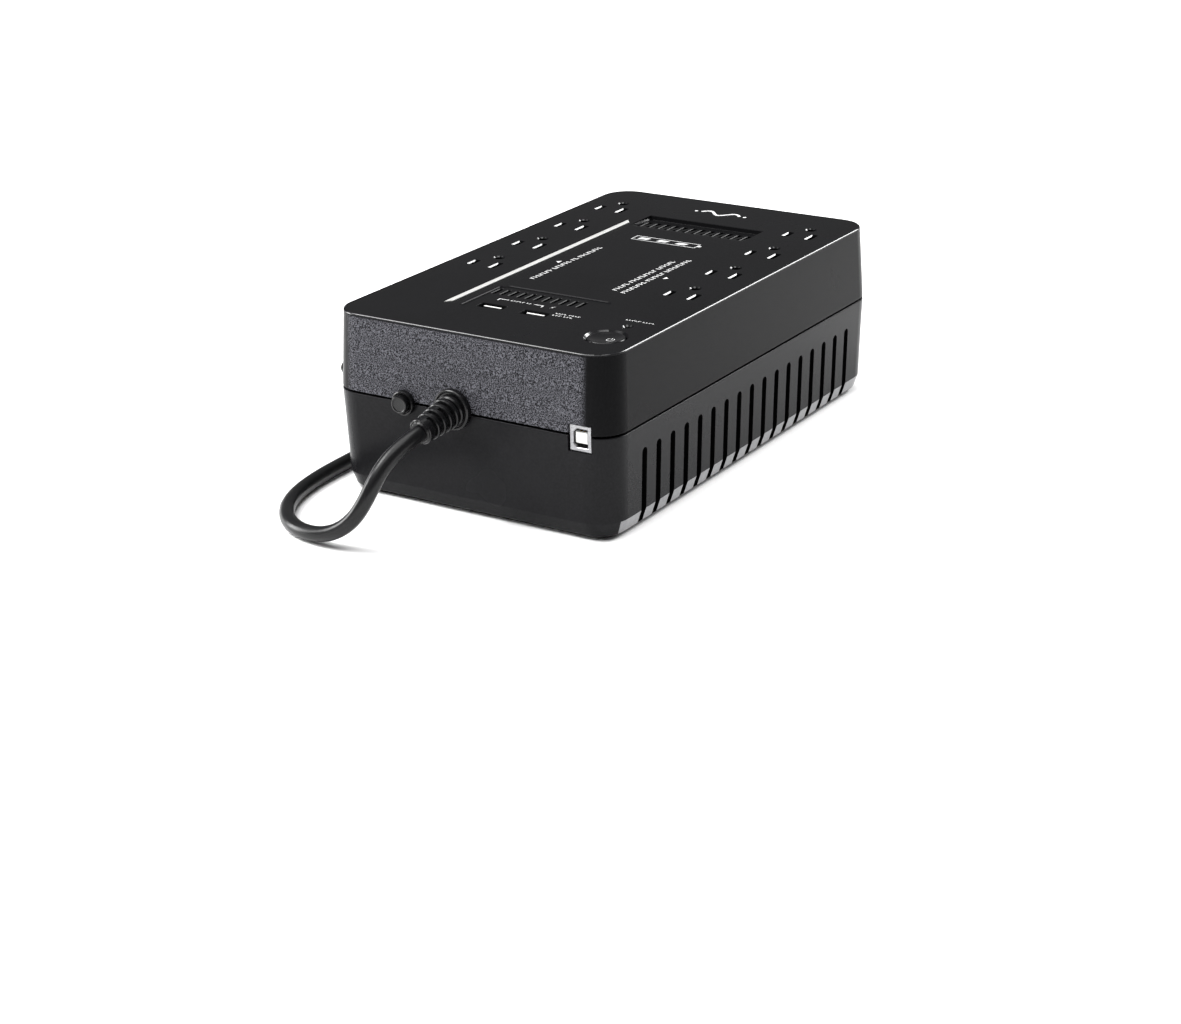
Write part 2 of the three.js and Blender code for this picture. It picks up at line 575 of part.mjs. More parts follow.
function battery() {
  return prism(roundedOutline(44.8, 50.5, 2, 0, 64.5, 2), 4, 74);
}

function batteryTerminal(side) {
  return block([side * 30 - 3.2, side * 30 + 3.2], [8, 13.7], [59.6, 60.4]);
}

function batteryLead(side) {
  const route = [[30, 7.2, 60], [30, 4.5, 63], [29.5, -4, 66.5], [28.5, -20, 67], [27.5, -36, 66.5],
    [26.8, -43.5, 65.4], [26.6, -47, 63.4]];
  return tube(route.map(([x, y, z]) => [side * x, y, z]), 1.3, 8, 6);
}

function heatSink() {
  const [left, right] = [-55, -31];
  const span = [-112, -76];
  const z = MAIN_BOARD.z + BOARD + GAP;
  const fins = Array.from({ length: 5 }, (_, i) => (
    block([left + i * 5.6, left + i * 5.6 + 1.6], span, [z + 2, z + 19])
  ));
  return joined(block([left, right], span, [z, z + 2.5]), ...fins);
}

const onMainBoard = MAIN_BOARD.z + BOARD + GAP;
const relay = (x) => block([x - 9.5, x + 9.5], [-67.5, -52], [onMainBoard, onMainBoard + 15]);

function capacitor() {
  const profile = [[0, 0], [8, 0], [8, 2.4], [7.6, 2.8], [8, 3.2], [8, 18], [7.4, 18.6], [0, 18.6]];
  return turned(profile, [22, -57, onMainBoard], [22, -57, 80]);
}

function fuse() {
  const y = -49.2;
  const z = onMainBoard + 2.7;
  const profile = [[0, 0], [2.6, 0], [2.6, 5], [2.3, 5.2], [2.3, 14.8], [2.6, 15], [2.6, 20], [0, 20]];
  return turned(profile, [-10, y, z], [10, y, z], 16);
}

function buzzer() {
  const profile = [[0, 0], [5.5, 0], [5.5, 8], [0.9, 8], [0.9, 2], [0, 2]];
  return turned(profile, [46, -60, onMainBoard], [46, -60, 80], 20);
}

const lineLead = () => tube([[-9.5, -117, 51], [-11, -108, 49], [-16, -98, 47], [-24, -91, 46], [-31.6, -91.4, 47.5],
  [-33, -94.6, 49]], 1.3, 8, 5);
const neutralLead = () => tube([[-3.5, -117, 51], [-3.2, -112, 51.6], [-3, -108, 54], [-3, -106.5, 59.6]], 1.3, 8, 5);

// ---- The free mains lead ----
function cordCoil() {
  const top = 2 * CORD_RADIUS + 6.3;
  const inner = COIL.inner - CORD_RADIUS;
  const outer = COIL.outer + CORD_RADIUS;
  const shoulder = 2 * CORD_RADIUS + 0.1;
  const profile = [[inner, 0.1], [outer, 0.1], [outer, shoulder], [outer - 3.6, top], [inner + 3.6, top],
    [inner, shoulder], [inner, 0.1]];
  return turned(profile, [COIL.x, COIL.y, 0], [COIL.x, COIL.y, 1], 32);
}

const PLUG_X = COIL.x + COIL.topTurn;

function plugBody() {
  const { startY, endY, halfWidth, halfHeight, z } = PLUG;
  const ring = (y, halfX, halfZ, radius) => ({ outline: roundedOutline(halfX, halfZ, radius, 0, 0, 4), z: y });
  const body = loft([ring(0, 5, 5, 4.8), ring(9, 5.6, 5.6, 5.2), ring(10, 8.5, 8, 6), ring(15, halfWidth - 1, 9.4, 7),
    ring(20, halfWidth, halfHeight, 7), ring(endY - startY - 1, halfWidth, halfHeight, 7),
    ring(endY - startY, halfWidth - 1, halfHeight - 1, 6)]);
  return body.rotate([-90, 0, 0]).translate([PLUG_X, startY, z]);
}

function plugBlade(side) {
  const x = PLUG_X + side * 6.35;
  return block([x - 0.75, x + 0.75], [PLUG.endY + GAP, PLUG.endY + 18], [PLUG.z - 5.5, PLUG.z + 0.8]);
}

function plugGroundPin() {
  const z = PLUG.z + 6.2;
  const profile = [[0, 0], [2.4, 0], [2.4, 18.6], [1.4, 20.8], [0, 21]];
  return turned(profile, [PLUG_X, PLUG.endY + GAP, z], [PLUG_X, PLUG.endY + 30, z], 16);
}

// ---- Assembly ----
const assembly = new THREE.Group();
assembly.name = 'uninterruptible_power_supply';
assembly.position.y = CASE_SHIFT_Y;

function place(name, slot, solid) {
  const mesh = new THREE.Mesh(geometryOf(solid), finish(...FINISHES[slot]));
  mesh.name = name;
  assembly.add(mesh);
}

place('top_cover', 'cover', topCover());
place('bottom_case', 'case', bottomCase());
place('battery_door', 'case', batteryDoor());
place('inlay_stripe', 'stripe', prism(stripeOutline(-GAP / 2), TOP_Z - STRIPE.depth + GAP, TOP_Z + STRIPE.proud));

[[-1, -1], [1, -1], [1, 1], [-1, 1]].forEach(([sx, sy], i) => {
  place(`foot_${i + 1}`, 'rubber', foot(sx, sy));
  place(`case_screw_${i + 1}`, 'steel', caseScrew(sx, sy));
});

for (const [side, x] of [['left', -OUTLET.columnX], ['right', OUTLET.columnX]]) {
  place(`outlet_carrier_${side}`, 'insulator', outletCarrier(x));
  place(`line_bar_${side}`, 'brass', busBar(x - OUTLET.bladeX, 0, 6));
  place(`neutral_bar_${side}`, 'brass', busBar(x + OUTLET.bladeX, 0, 7));
  place(`ground_bar_${side}`, 'brass', busBar(x, OUTLET.groundY, 4));
}

place('power_button', 'button', powerButton());
place('power_switch', 'insulator', powerSwitch());
place('power_led', 'lens', powerLed());
CHARGE_PORT.xs.forEach((x, i) => {
  place(`usb_charge_shell_${i + 1}`, 'nickel', chargePortShell(x));
  place(`usb_charge_tongue_${i + 1}`, 'white', chargePortTongue(x));
});
place('usb_data_shell', 'nickel', dataPortShell());
place('usb_data_tongue', 'white', dataPortTongue());
place('breaker_body', 'insulator', breakerBody());
place('breaker_button', 'button', breakerButton());
place('breaker_collar', 'insulator', breakerCollar());
place('strain_relief', 'rubber', strainRelief());

place('main_board', 'board', mainBoard());
place('front_board', 'board', frontBoard());
place('transformer_core', 'steel', transformerCore());
place('transformer_winding', 'copper', transformerWinding());
place('battery', 'battery', battery());
place('battery_terminal_positive', 'brass', batteryTerminal(1));
place('battery_terminal_negative', 'brass', batteryTerminal(-1));
place('battery_lead_red', 'red', batteryLead(1));
place('battery_lead_black', 'cord', batteryLead(-1));
place('heat_sink', 'aluminium', heatSink());
place('transfer_relay_1', 'insulator', relay(-40));
place('transfer_relay_2', 'insulator', relay(-15));
place('capacitor', 'battery', capacitor());
place('fuse', 'glass', fuse());
place('buzzer', 'insulator', buzzer());
place('line_lead', 'cord', lineLead());
place('neutral_lead', 'white', neutralLead());

place('cord_lead', 'cord', tube(LEAD_ROUTE, CORD_RADIUS, 10, 11));
place('cord_coil', 'cord', cordCoil());
place('cord_tail', 'cord', tube(TAIL_ROUTE, CORD_RADIUS, 10, 3));
place('plug_body', 'rubber', plugBody());
place('plug_blade_line', 'nickel', plugBlade(-1));
place('plug_blade_neutral', 'nickel', plugBlade(1));
place('plug_ground_pin', 'nickel', plugGroundPin());

export default assembly;
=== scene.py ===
"""Looks of a desktop uninterruptible power supply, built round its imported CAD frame.

Lengths are in millimetres in the row frame until solid_object() and cord_curve() turn them into metres.
+Z is up, the mains lead leaves at the -Y end, and the data port is on the +X side of that end.
"""

import json
import math

import bmesh
import bpy
import numpy as np
from mathutils import Matrix, Vector


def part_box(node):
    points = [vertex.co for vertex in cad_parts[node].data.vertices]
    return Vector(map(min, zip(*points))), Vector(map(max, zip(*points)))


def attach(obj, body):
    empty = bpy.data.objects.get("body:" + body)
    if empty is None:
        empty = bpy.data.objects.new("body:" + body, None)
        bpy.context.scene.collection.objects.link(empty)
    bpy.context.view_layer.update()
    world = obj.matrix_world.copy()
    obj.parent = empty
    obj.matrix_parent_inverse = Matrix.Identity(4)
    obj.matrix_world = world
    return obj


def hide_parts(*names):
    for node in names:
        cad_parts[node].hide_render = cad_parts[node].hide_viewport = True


MM = 0.001
TAU = 2 * math.pi
CASE_BODY = "case"

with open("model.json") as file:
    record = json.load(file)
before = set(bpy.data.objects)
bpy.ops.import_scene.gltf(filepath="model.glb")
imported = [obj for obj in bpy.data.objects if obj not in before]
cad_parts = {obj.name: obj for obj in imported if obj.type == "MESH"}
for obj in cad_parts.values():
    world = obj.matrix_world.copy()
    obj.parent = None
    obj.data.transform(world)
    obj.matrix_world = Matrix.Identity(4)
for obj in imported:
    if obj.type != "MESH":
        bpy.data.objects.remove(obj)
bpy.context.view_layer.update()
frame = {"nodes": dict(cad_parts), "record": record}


def box_mm(node):
    low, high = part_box(node)
    return np.array(low) / MM, np.array(high) / MM


def middle_mm(node):
    low, high = box_mm(node)
    return (low + high) / 2


def half_mm(node):
    low, high = box_mm(node)
    return (high - low) / 2


# ---- Driving dimensions, from the frame where it has them ----
CY = middle_mm("top_cover")[1]
TOP_Z = box_mm("top_cover")[1][2]
END_Y = box_mm("top_cover")[0][1]
SOLE_Z = box_mm("bottom_case")[0][2]
SEAM_GAP = 1.1
SEAM_Z = middle_mm("breaker_button")[2]
SEAM_HALF = half_mm("top_cover")[:2]
TOP_HALF = SEAM_HALF - np.array([1.4, 1.95])
BASE_HALF = SEAM_HALF - np.array([1.3, 1.2])
CORNER_RADIUS = 14.2
WALL = 2.5
SHOULDER_Z = 8.7
FACET_Z, FACET_INSET = 2.4, 2.2
SOLE_INSET = 3.9
FLOOR_Z = SOLE_Z + WALL

MOUNTS = frame["record"]["mounts"]
OUTLETS = [np.array(mount["pos_m"]) / MM for mount in MOUNTS if mount["name"].startswith("outlet")]
BLADE_X = 6.35
GROUND_Y = 12.0
VENT = {"count": 17, "first": -96.8 + CY, "pitch": 12.13, "half": 2.1, "top": 38.0, "bottom": 2.6}
PANEL = {
    "left": -26.6, "right": 33.7, "near": -96.4 + CY, "near_left": -91.4 + CY, "far": -54.0 + CY,
    "depth": 0.5,
}
NEAR_GRILLE = {"count": 11, "first": -24.4, "pitch": 4.6, "half": 1.0, "near": -66.5 + CY, "far": -58.0 + CY}
FAR_GRILLE = {"count": 12, "first": -25.3, "pitch": 5.16, "half": 1.3, "near": 64.5 + CY, "far": 77.5 + CY}
SCOOP = {"left": -30.0, "right": 35.0, "near": 62.0 + CY, "far": 84.0 + CY, "depth": 2.2}
BUTTON = middle_mm("power_button")
BUTTON_RADIUS = half_mm("power_button")[0]
LED = middle_mm("power_led")
LED_HOLE = 1.8
CHARGE_PORTS = [middle_mm("usb_charge_shell_1"), middle_mm("usb_charge_shell_2")]
PORT_HALF = (6.6, 2.9)
DATA_LOW, DATA_HIGH = box_mm("usb_data_shell")
DATA_ROOM = np.array([0.6, 0, 0.3])
BREAKER = middle_mm("breaker_button")
BREAKER_RADIUS = 4.2
BREAKER_NECK = 5.0
RELIEF_X, _, RELIEF_Z = middle_mm("strain_relief")
RELIEF_NECK = 6.2
DOOR_LOW, DOOR_HIGH = box_mm("battery_door")
SCREWS = [middle_mm(f"case_screw_{i}") for i in (1, 2, 3, 4)]
FEET = [middle_mm(f"foot_{i}") for i in (1, 2, 3, 4)]

CORD_RADIUS = 3.6
BOOT_TIP = np.array([-7, -150.7 + CY, 47.1])
COIL_CENTRE = np.array([-131, 30 + CY])



def linked(name, data):
    obj = bpy.data.objects.new(name, data)
    bpy.context.scene.collection.objects.link(obj)
    return obj


# ---- Camera ----
CAMERA_PLACE = Vector((0.59719, -0.95114, 0.40978))
CAMERA_AZIMUTH = 32.7546
CAMERA_PITCH = 21.8253
CAMERA_ROLL = -1.2565
FRAME_WIDTH = 1181
FOCAL_LENGTH = 2450.665
SENSOR = 36.0

camera_data = bpy.data.cameras.new("camera")
camera_data.sensor_width = SENSOR
camera_data.lens = FOCAL_LENGTH / FRAME_WIDTH * SENSOR
camera_data.clip_start = 0.01
camera_data.clip_end = 50
camera = linked("camera", camera_data)
turn = (
    Matrix.Rotation(math.radians(CAMERA_AZIMUTH), 4, "Z")
    @ Matrix.Rotation(math.radians(90 - CAMERA_PITCH), 4, "X")
    @ Matrix.Rotation(math.radians(CAMERA_ROLL), 4, "Z")
)
camera.matrix_world = Matrix.Translation(CAMERA_PLACE) @ turn
bpy.context.scene.camera = camera


# ---- Solids: (vertices, faces) pairs in millimetres ----
def joined(*solids):
    vertices, faces, offset = [], [], 0
    for points, polygons in solids:
        vertices.append(np.asarray(points, float))
        faces += [[i + offset for i in polygon] for polygon in polygons]
        offset += len(points)
    return np.vstack(vertices), faces


def stack(rings, closed=False):
    """Rings of equal length skinned into one body. Its ends have caps, or in a closed one they meet."""
    count, levels = len(rings[0]), len(rings)
    faces = []
    for level in range(levels if closed else levels - 1):
        above = (level + 1) % levels
        for i in range(count):
            j = (i + 1) % count
            faces.append([level * count + i, level * count + j, above * count + j, above * count + i])
    if not closed:
        faces += [list(range(count))[::-1], [(levels - 1) * count + i for i in range(count)]]
    return np.vstack([np.asarray(ring, float) for ring in rings]), faces


def polar(middle, radius, degrees):
    angle = math.radians(degrees)
    return middle[0] + radius * math.cos(angle), middle[1] + radius * math.sin(angle)


def arc(middle, radius, start, end, steps):
    return [polar(middle, radius, start + (end - start) * i / steps) for i in range(steps + 1)]


def rounded(half_x, half_y, radius, centre=(0, 0), steps=14, support=0.25):
    """A rounded rectangle. An extra point on each side of each corner keeps the flat sides flat."""
    points = []
    for corner, (sign_x, sign_y) in enumerate(((1, 1), (-1, 1), (-1, -1), (1, -1))):
        start = 90 * corner
        bend = arc((sign_x * (half_x - radius), sign_y * (half_y - radius)), radius, start, start + 90, steps)
        points += [polar(bend[0], support, start - 90), *bend, polar(bend[-1], support, start + 180)]
    return np.array(points) + np.array(centre)


def at_height(outline, z):
    return np.column_stack([outline, np.full(len(outline), z)])


def across_y(outline, y):
    """An outline in X and Z, at a place along Y."""
    return np.insert(np.asarray(outline, float), 1, y, axis=1)


def prism(outline, low, high):
    return stack([at_height(outline, low), at_height(outline, high)])


def box(x, y, z):
    return prism([(x[0], y[0]), (x[1], y[0]), (x[1], y[1]), (x[0], y[1])], *z)


def tapered(half, radius, middle, levels, steps=4):
    """An upright rounded box. A level is how far its sides and its corner radius grow, and a height."""
    rings = []
    for grow, rounder, z in levels:
        half_x, half_y = np.array(half) + grow
        rings.append(at_height(rounded(half_x, half_y, radius + rounder, middle, steps, 0.02), z))
    return stack(rings)


def lathe(profile, origin, direction=(0, 0, 1), sides=48):
    """A body turned round an axis. Its (radius, distance) profile starts and ends there or is closed."""
    turn = Vector((0, 0, 1)).rotation_difference(Vector(direction).normalized()).to_matrix()
    points, faces, rows = [], [], []
    for radius, along in profile:
        ring = [(0, 0)] if radius < 1e-6 else [polar((0, 0), radius, 360 * i / sides) for i in range(sides)]
        rows.append(range(len(points), len(points) + len(ring)))
        points += [turn @ Vector((x, y, along)) for x, y in ring]
    for low, high in zip(rows, rows[1:]):
        for i in range(sides):
            j = (i + 1) % sides
            if len(low) == 1 and len(high) > 1:
                faces.append([low[0], high[i], high[j]])
            elif len(high) == 1 and len(low) > 1:
                faces.append([low[i], low[j], high[0]])
            elif len(low) > 1:
                faces.append([low[i], low[j], high[j], high[i]])
    return np.array(points) + np.asarray(origin, float), faces


def rod(radius, start, end, sides=32):
    line = Vector(end) - Vector(start)
    return lathe([(0, 0), (radius, 0), (radius, line.length), (0, line.length)], start, line, sides)


def uprights(places, radius, low, high, sides):
    return [rod(radius, (*place[:2], low), (*place[:2], high), sides) for place in places]


# ---- Blender objects ----
def solid_object(name, solid):
    mesh = bpy.data.meshes.new(name)
    mesh.from_pydata((np.asarray(solid[0]) * MM).tolist(), [], solid[1])
    work = bmesh.new()
    work.from_mesh(mesh)
    bmesh.ops.recalc_face_normals(work, faces=work.faces)
    work.to_mesh(mesh)
    work.free()
    return linked(name, mesh)


def carve(obj, *solids, operation="DIFFERENCE"):
    """Cuts solids out of the object's mesh, or joins them on. The solids don't touch each other."""
    tool = solid_object("tool", joined(*solids))
    modifier = obj.modifiers.new("carve", "BOOLEAN")
    modifier.operation = operation
    modifier.solver = "EXACT"
    modifier.object = tool
    replace_mesh(obj)
    used = tool.data
    bpy.data.objects.remove(tool)
    bpy.data.meshes.remove(used)


def replace_mesh(obj):
    """Keeps what the object's modifiers make of its mesh, and drops the modifiers."""
    graph = bpy.context.evaluated_depsgraph_get()
    result = bpy.data.meshes.new_from_object(obj.evaluated_get(graph))
    obj.modifiers.clear()
    old = obj.data
    obj.data = result
    bpy.data.meshes.remove(old)


def smooth(obj, angle=32):
    """Smooth shading in which the large faces keep their own direction."""
    mesh = obj.data
    mesh.polygons.foreach_set("use_smooth", [True] * len(mesh.polygons))
    mesh.set_sharp_from_angle(angle=math.radians(angle))
    modifier = obj.modifiers.new("weighted", "WEIGHTED_NORMAL")
    modifier.keep_sharp = True
    replace_mesh(obj)


def dress(obj, material, slot, nodes=(), body=CASE_BODY, angle=32):
    """Gives a new piece its shading and material, the nodes it stands for and the body it rides on. Its slot
    argument is not used.
    """
    if obj.type == "MESH":
        smooth(obj, angle)
    obj.data.materials.clear()
    obj.data.materials.append(material)
    if nodes:
        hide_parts(*nodes)
    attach(obj, body)
    return obj


def piece(name, solid, *looks, **more):
    return dress(solid_object(name, solid), *looks, **more)


# ---- Materials ----
def wire(tree, sockets, values):
    """Sets inputs to numbers or colours, or links them to other nodes' outputs."""
    for key, value in values.items():
        if isinstance(value, (int, float)):
            sockets[key].default_value = value
        elif isinstance(value, tuple):
            sockets[key].default_value = (*value, 1)
        else:
            tree.links.new(value, sockets[key])


def new_material(name, color, roughness, metallic=0.0, specular=0.5):
    material = bpy.data.materials.new(name)
    material.use_nodes = True
    tree = material.node_tree
    shader = tree.nodes["Principled BSDF"]
    wire(tree, shader.inputs, {
        "Base Color": color, "Roughness": roughness, "Metallic": metallic, "Specular IOR Level": specular,
    })
    return material, tree, shader


def add_node(tree, kind, values, **settings):
    made = tree.nodes.new(kind)
    for key, value in settings.items():
        setattr(made, key, value)
    wire(tree, made.inputs, values)
    return made


def object_place(tree):
    return add_node(tree, "ShaderNodeTexCoord", {}).outputs["Object"]


def noise(tree, place, per_metre, detail=2.0, rough=0.5):
    values = {"Vector": place, "Scale": per_metre, "Detail": detail, "Roughness": rough}
    return add_node(tree, "ShaderNodeTexNoise", values).outputs["Fac"]


def ramp(tree, value, stops):
    """Maps a value to colours through (position, grey or colour) stops."""
    made = add_node(tree, "ShaderNodeValToRGB", {"Fac": value})
    elements = made.color_ramp.elements
    for element, (position, colour) in zip(elements, stops, strict=True):
        element.position = position
        element.color = (*colour, 1) if isinstance(colour, tuple) else (colour, colour, colour, 1)
    return made.outputs["Color"]


def math_node(tree, operation, *values):
    return add_node(tree, "ShaderNodeMath", dict(enumerate(values)), operation=operation).outputs[0]


def mix_colour(tree, factor, first, second):
    made = add_node(tree, "ShaderNodeMix", {}, data_type="RGBA")
    wire(tree, {s.name: s for s in made.inputs if s.enabled}, {"Factor": factor, "A": first, "B": second})
    return next(s for s in made.outputs if s.enabled)


def bump(tree, height, distance_mm, **below):
    values = {"Height": height, "Distance": distance_mm * MM, "Strength": 1.0, **below}
    return add_node(tree, "ShaderNodeBump", values).outputs["Normal"]


def grained(name, color, roughness, specular=0.5, metallic=0.0, grain=900, depth=0.02, spread=0.2, patch=14):
    """A moulded or cast surface: fine grain in its relief, and slow changes in its colour and polish."""
    material, tree, shader = new_material(name, color, roughness, metallic, specular)
    place = object_place(tree)
    fine = noise(tree, place, grain)
    slow = noise(tree, place, patch, detail=3.0)
    low = tuple(c * (1 - spread) for c in color)
    high = tuple(min(1, c * (1 + spread)) for c in color)
    mixed = math_node(tree, "MULTIPLY", math_node(tree, "ADD", fine, slow), 0.5)
    wire(tree, shader.inputs, {
        "Normal": bump(tree, fine, depth),
        "Base Color": ramp(tree, mixed, [(0.35, low), (0.65, high)]),
        "Roughness": ramp(tree, slow, [(0.3, roughness * 0.9), (0.7, min(1, roughness * 1.1))]),
    })
    return material


def inside(tree, value, low, high, blur):
    """1 where the value lies between low and high, with soft edges blur wide."""
    rise = {"Value": value, "From Min": low - blur, "From Max": low + blur}
    fall = {"Value": value, "From Min": high - blur, "From Max": high + blur, "To Min": 1.0, "To Max": 0.0}
    ends = [add_node(tree, "ShaderNodeMapRange", values, clamp=True).outputs[0] for values in (rise, fall)]
    return math_node(tree, "MULTIPLY", *ends)


COVER_COLOUR = (0.0045, 0.0045, 0.0050)
CASE_COLOUR = (0.0100, 0.0100, 0.0110)
GRAIN_DARK = (0.006, 0.006, 0.007)
# The light speckle colour of the end-wall grain is painted glints: it stands for light scattered by the rough
# grain.
GRAIN_GLINT_LIGHT = (0.135, 0.135, 0.152)
GRAIN_PER_METRE = 1900
COVER_SPECULAR = 0.042
CASE_SPECULAR = 0.075


def cover_material():
    """Satin black plastic whose end walls carry a coarse spark-eroded grain; the grain's light speckles are
    painted glints, colour that stands for light caught by the rough grain.
    """
    material = grained("cover_plastic", COVER_COLOUR, 0.26, COVER_SPECULAR, depth=0.005)
    tree = material.node_tree
    inputs = tree.nodes["Principled BSDF"].inputs
    place = object_place(tree)
    across, along, up = add_node(tree, "ShaderNodeSeparateXYZ", {0: place}).outputs
    off_middle = math_node(tree, "ABSOLUTE", math_node(tree, "SUBTRACT", along, CY * MM))
    flat_half = (SEAM_HALF[0] - CORNER_RADIUS - 0.4) * MM
    on_end = inside(tree, off_middle, (TOP_HALF[1] - 1.6) * MM, 1.0, 0.0002)
    on_flat = inside(tree, across, -flat_half - 0.004, flat_half + 0.0006, 0.0016)
    below_top = inside(tree, up, 0.0, (TOP_Z - 1.4) * MM, 0.0003)
    mask = math_node(tree, "MULTIPLY", math_node(tree, "MULTIPLY", on_end, on_flat), below_top)
    sparks = noise(tree, place, GRAIN_PER_METRE, detail=3.0, rough=0.7)
    # Painted glints: the grain's light speckles are colour standing for light caught by the rough grain.
    grain_and_glint_colour = ramp(tree, sparks, [(0.45, GRAIN_DARK), (0.60, GRAIN_GLINT_LIGHT)])
    plain, smooth_normal = (inputs[key].links[0].from_socket for key in ("Base Color", "Normal"))
    grain_relief = bump(tree, math_node(tree, "MULTIPLY", sparks, mask), 0.06, Normal=smooth_normal)
    wire(tree, inputs, {"Base Color": mix_colour(tree, mask, plain, grain_and_glint_colour), "Normal": grain_relief})
    return material


def metal(name, color, roughness, streak=(1, 1, 12), scale=260):
    """Plated or stamped metal with fine drawn streaks."""
    material, tree, shader = new_material(name, color, roughness, 1.0)
    place = object_place(tree)
    stretch = add_node(tree, "ShaderNodeMapping", {"Vector": place})
    stretch.inputs["Scale"].default_value = streak
    drawn = noise(tree, stretch.outputs[0], scale, detail=4.0)
    dull = tuple(c * 0.88 for c in color)
    wire(tree, shader.inputs, {
        "Roughness": ramp(tree, drawn, [(0.3, roughness * 0.7), (0.7, min(1, roughness * 1.4))]),
        "Base Color": ramp(tree, noise(tree, place, 60), [(0.3, dull), (0.7, color)]),
        "Normal": bump(tree, drawn, 0.004),
    })
    return material


def board_material():
    """Green solder mask over copper tracks, with rows of solder points."""
    material, tree, shader = new_material("circuit_board", (0.02, 0.12, 0.05), 0.35)
    place = object_place(tree)
    tracks = add_node(tree, "ShaderNodeTexBrick", {"Vector": place, "Scale": 160.0, "Mortar Size": 0.03})
    dots = add_node(tree, "ShaderNodeTexVoronoi", {"Vector": place, "Scale": 330.0, "Randomness": 0.25})
    green = ramp(tree, tracks.outputs["Fac"], [(0.0, (0.012, 0.085, 0.035)), (1.0, (0.03, 0.16, 0.07))])
    solder = ramp(tree, dots.outputs["Distance"], [(0.16, 1.0), (0.2, 0.0)])
    wire(tree, shader.inputs, {
        "Base Color": mix_colour(tree, solder, green, (0.55, 0.55, 0.52)),
        "Normal": bump(tree, dots.outputs["Distance"], 0.2),
    })
    return material


def banded(name, first, second, per_metre, axis, roughness, metallic):
    """Stacked sheets or wound wire: fine bands across one axis."""
    material, tree, shader = new_material(name, first, roughness, metallic)
    values = {"Vector": object_place(tree), "Scale": per_metre, "Distortion": 0.4, "Detail": 1.0}
    bands = add_node(tree, "ShaderNodeTexWave", values, bands_direction=axis).outputs["Fac"]
    wire(tree, shader.inputs, {
        "Base Color": ramp(tree, bands, [(0.2, first), (0.8, second)]), "Normal": bump(tree, bands, 0.15),
    })
    return material


COVER = cover_material()
EDGE_GLOSS = grained("edge_gloss", (0.008, 0.008, 0.009), 0.2, 0.5, depth=0.002)
CASE = grained("case_plastic", CASE_COLOUR, 0.26, CASE_SPECULAR, depth=0.004)
# Light grey, glossier plastic for the bevels between the vent slots: its colour is a painted reflection of
# the bright floor.
BEVEL_PAINTED_REFLECTION = grained("bevel_painted_reflection", (0.220, 0.220, 0.228), 0.3, 0.5, depth=0.004)
BUTTON_BLACK = grained("button_plastic", (0.005, 0.005, 0.0055), 0.22, 0.2, depth=0.002)
COLLAR_BLACK = grained("collar_plastic", (0.004, 0.004, 0.0045), 0.24, 0.3, depth=0.006)
# Near-black matte material put on the vent slot walls and the seam lip as painted shade.
VENT_PAINTED_SHADE = grained("vent_painted_shade", (0.0015, 0.0015, 0.0016), 0.8, 0.02, depth=0.01)
INSULATOR = grained("insulator", (0.018, 0.018, 0.020), 0.5, 0.4, depth=0.02)
RUBBER = grained("black_rubber", (0.004, 0.004, 0.0045), 0.27, 0.3, grain=700, depth=0.015)
JACKET = grained("cord_jacket", (0.005, 0.005, 0.0055), 0.3, 0.25, grain=420, depth=0.012)
STRIPE = grained("stripe", (0.40, 0.40, 0.39), 0.3, 0.5, grain=1500, depth=0.004, spread=0.05)
INK = grained("print_ink", (0.58, 0.58, 0.58), 0.5, 0.3, grain=3000, depth=0.002, spread=0.06)
WHITE = grained("white_plastic", (0.78, 0.78, 0.76), 0.35, 0.5, depth=0.006, spread=0.05)
LENS = grained("lens", (0.02, 0.022, 0.025), 0.08, 0.6, grain=500, depth=0.002)
BATTERY = grained("battery_case", (0.09, 0.10, 0.11), 0.45, 0.4, depth=0.03)
RED_WIRE = grained("red_wire", (0.40, 0.01, 0.01), 0.35, 0.5, spread=0.1)
CAPACITOR = grained("capacitor_sleeve", (0.012, 0.016, 0.05), 0.3, 0.5)
HOOK_TAPE = grained("hook_tape", (0.02, 0.02, 0.021), 0.85, 0.1, grain=1600, depth=0.25)
NICKEL = metal("nickel", (0.74, 0.73, 0.70), 0.24)
# Steel darkened far below its own colour, as painted shade for the charging port shells that sit deep in
# their openings.
PORT_STEEL_PAINTED_SHADE = metal("port_steel_painted_shade", (0.16, 0.16, 0.17), 0.4)
PORT_PLATE = metal("port_plate", (0.34, 0.34, 0.35), 0.34)
STEEL = metal("steel", (0.46, 0.46, 0.46), 0.38)
BRASS = metal("brass", (0.74, 0.53, 0.22), 0.3)
ALUMINIUM = metal("aluminium", (0.62, 0.63, 0.64), 0.35)
BOARD = board_material()
CORE = banded("core_steel", (0.22, 0.22, 0.23), (0.34, 0.34, 0.35), 900, "Y", 0.45, 1.0)
WINDING = banded("winding", (0.34, 0.12, 0.04), (0.56, 0.24, 0.09), 420, "Z", 0.3, 0.9)
FUSE_GLASS = grained("fuse_glass", (0.75, 0.80, 0.80), 0.05, 0.6, grain=200, depth=0.002, spread=0.05)

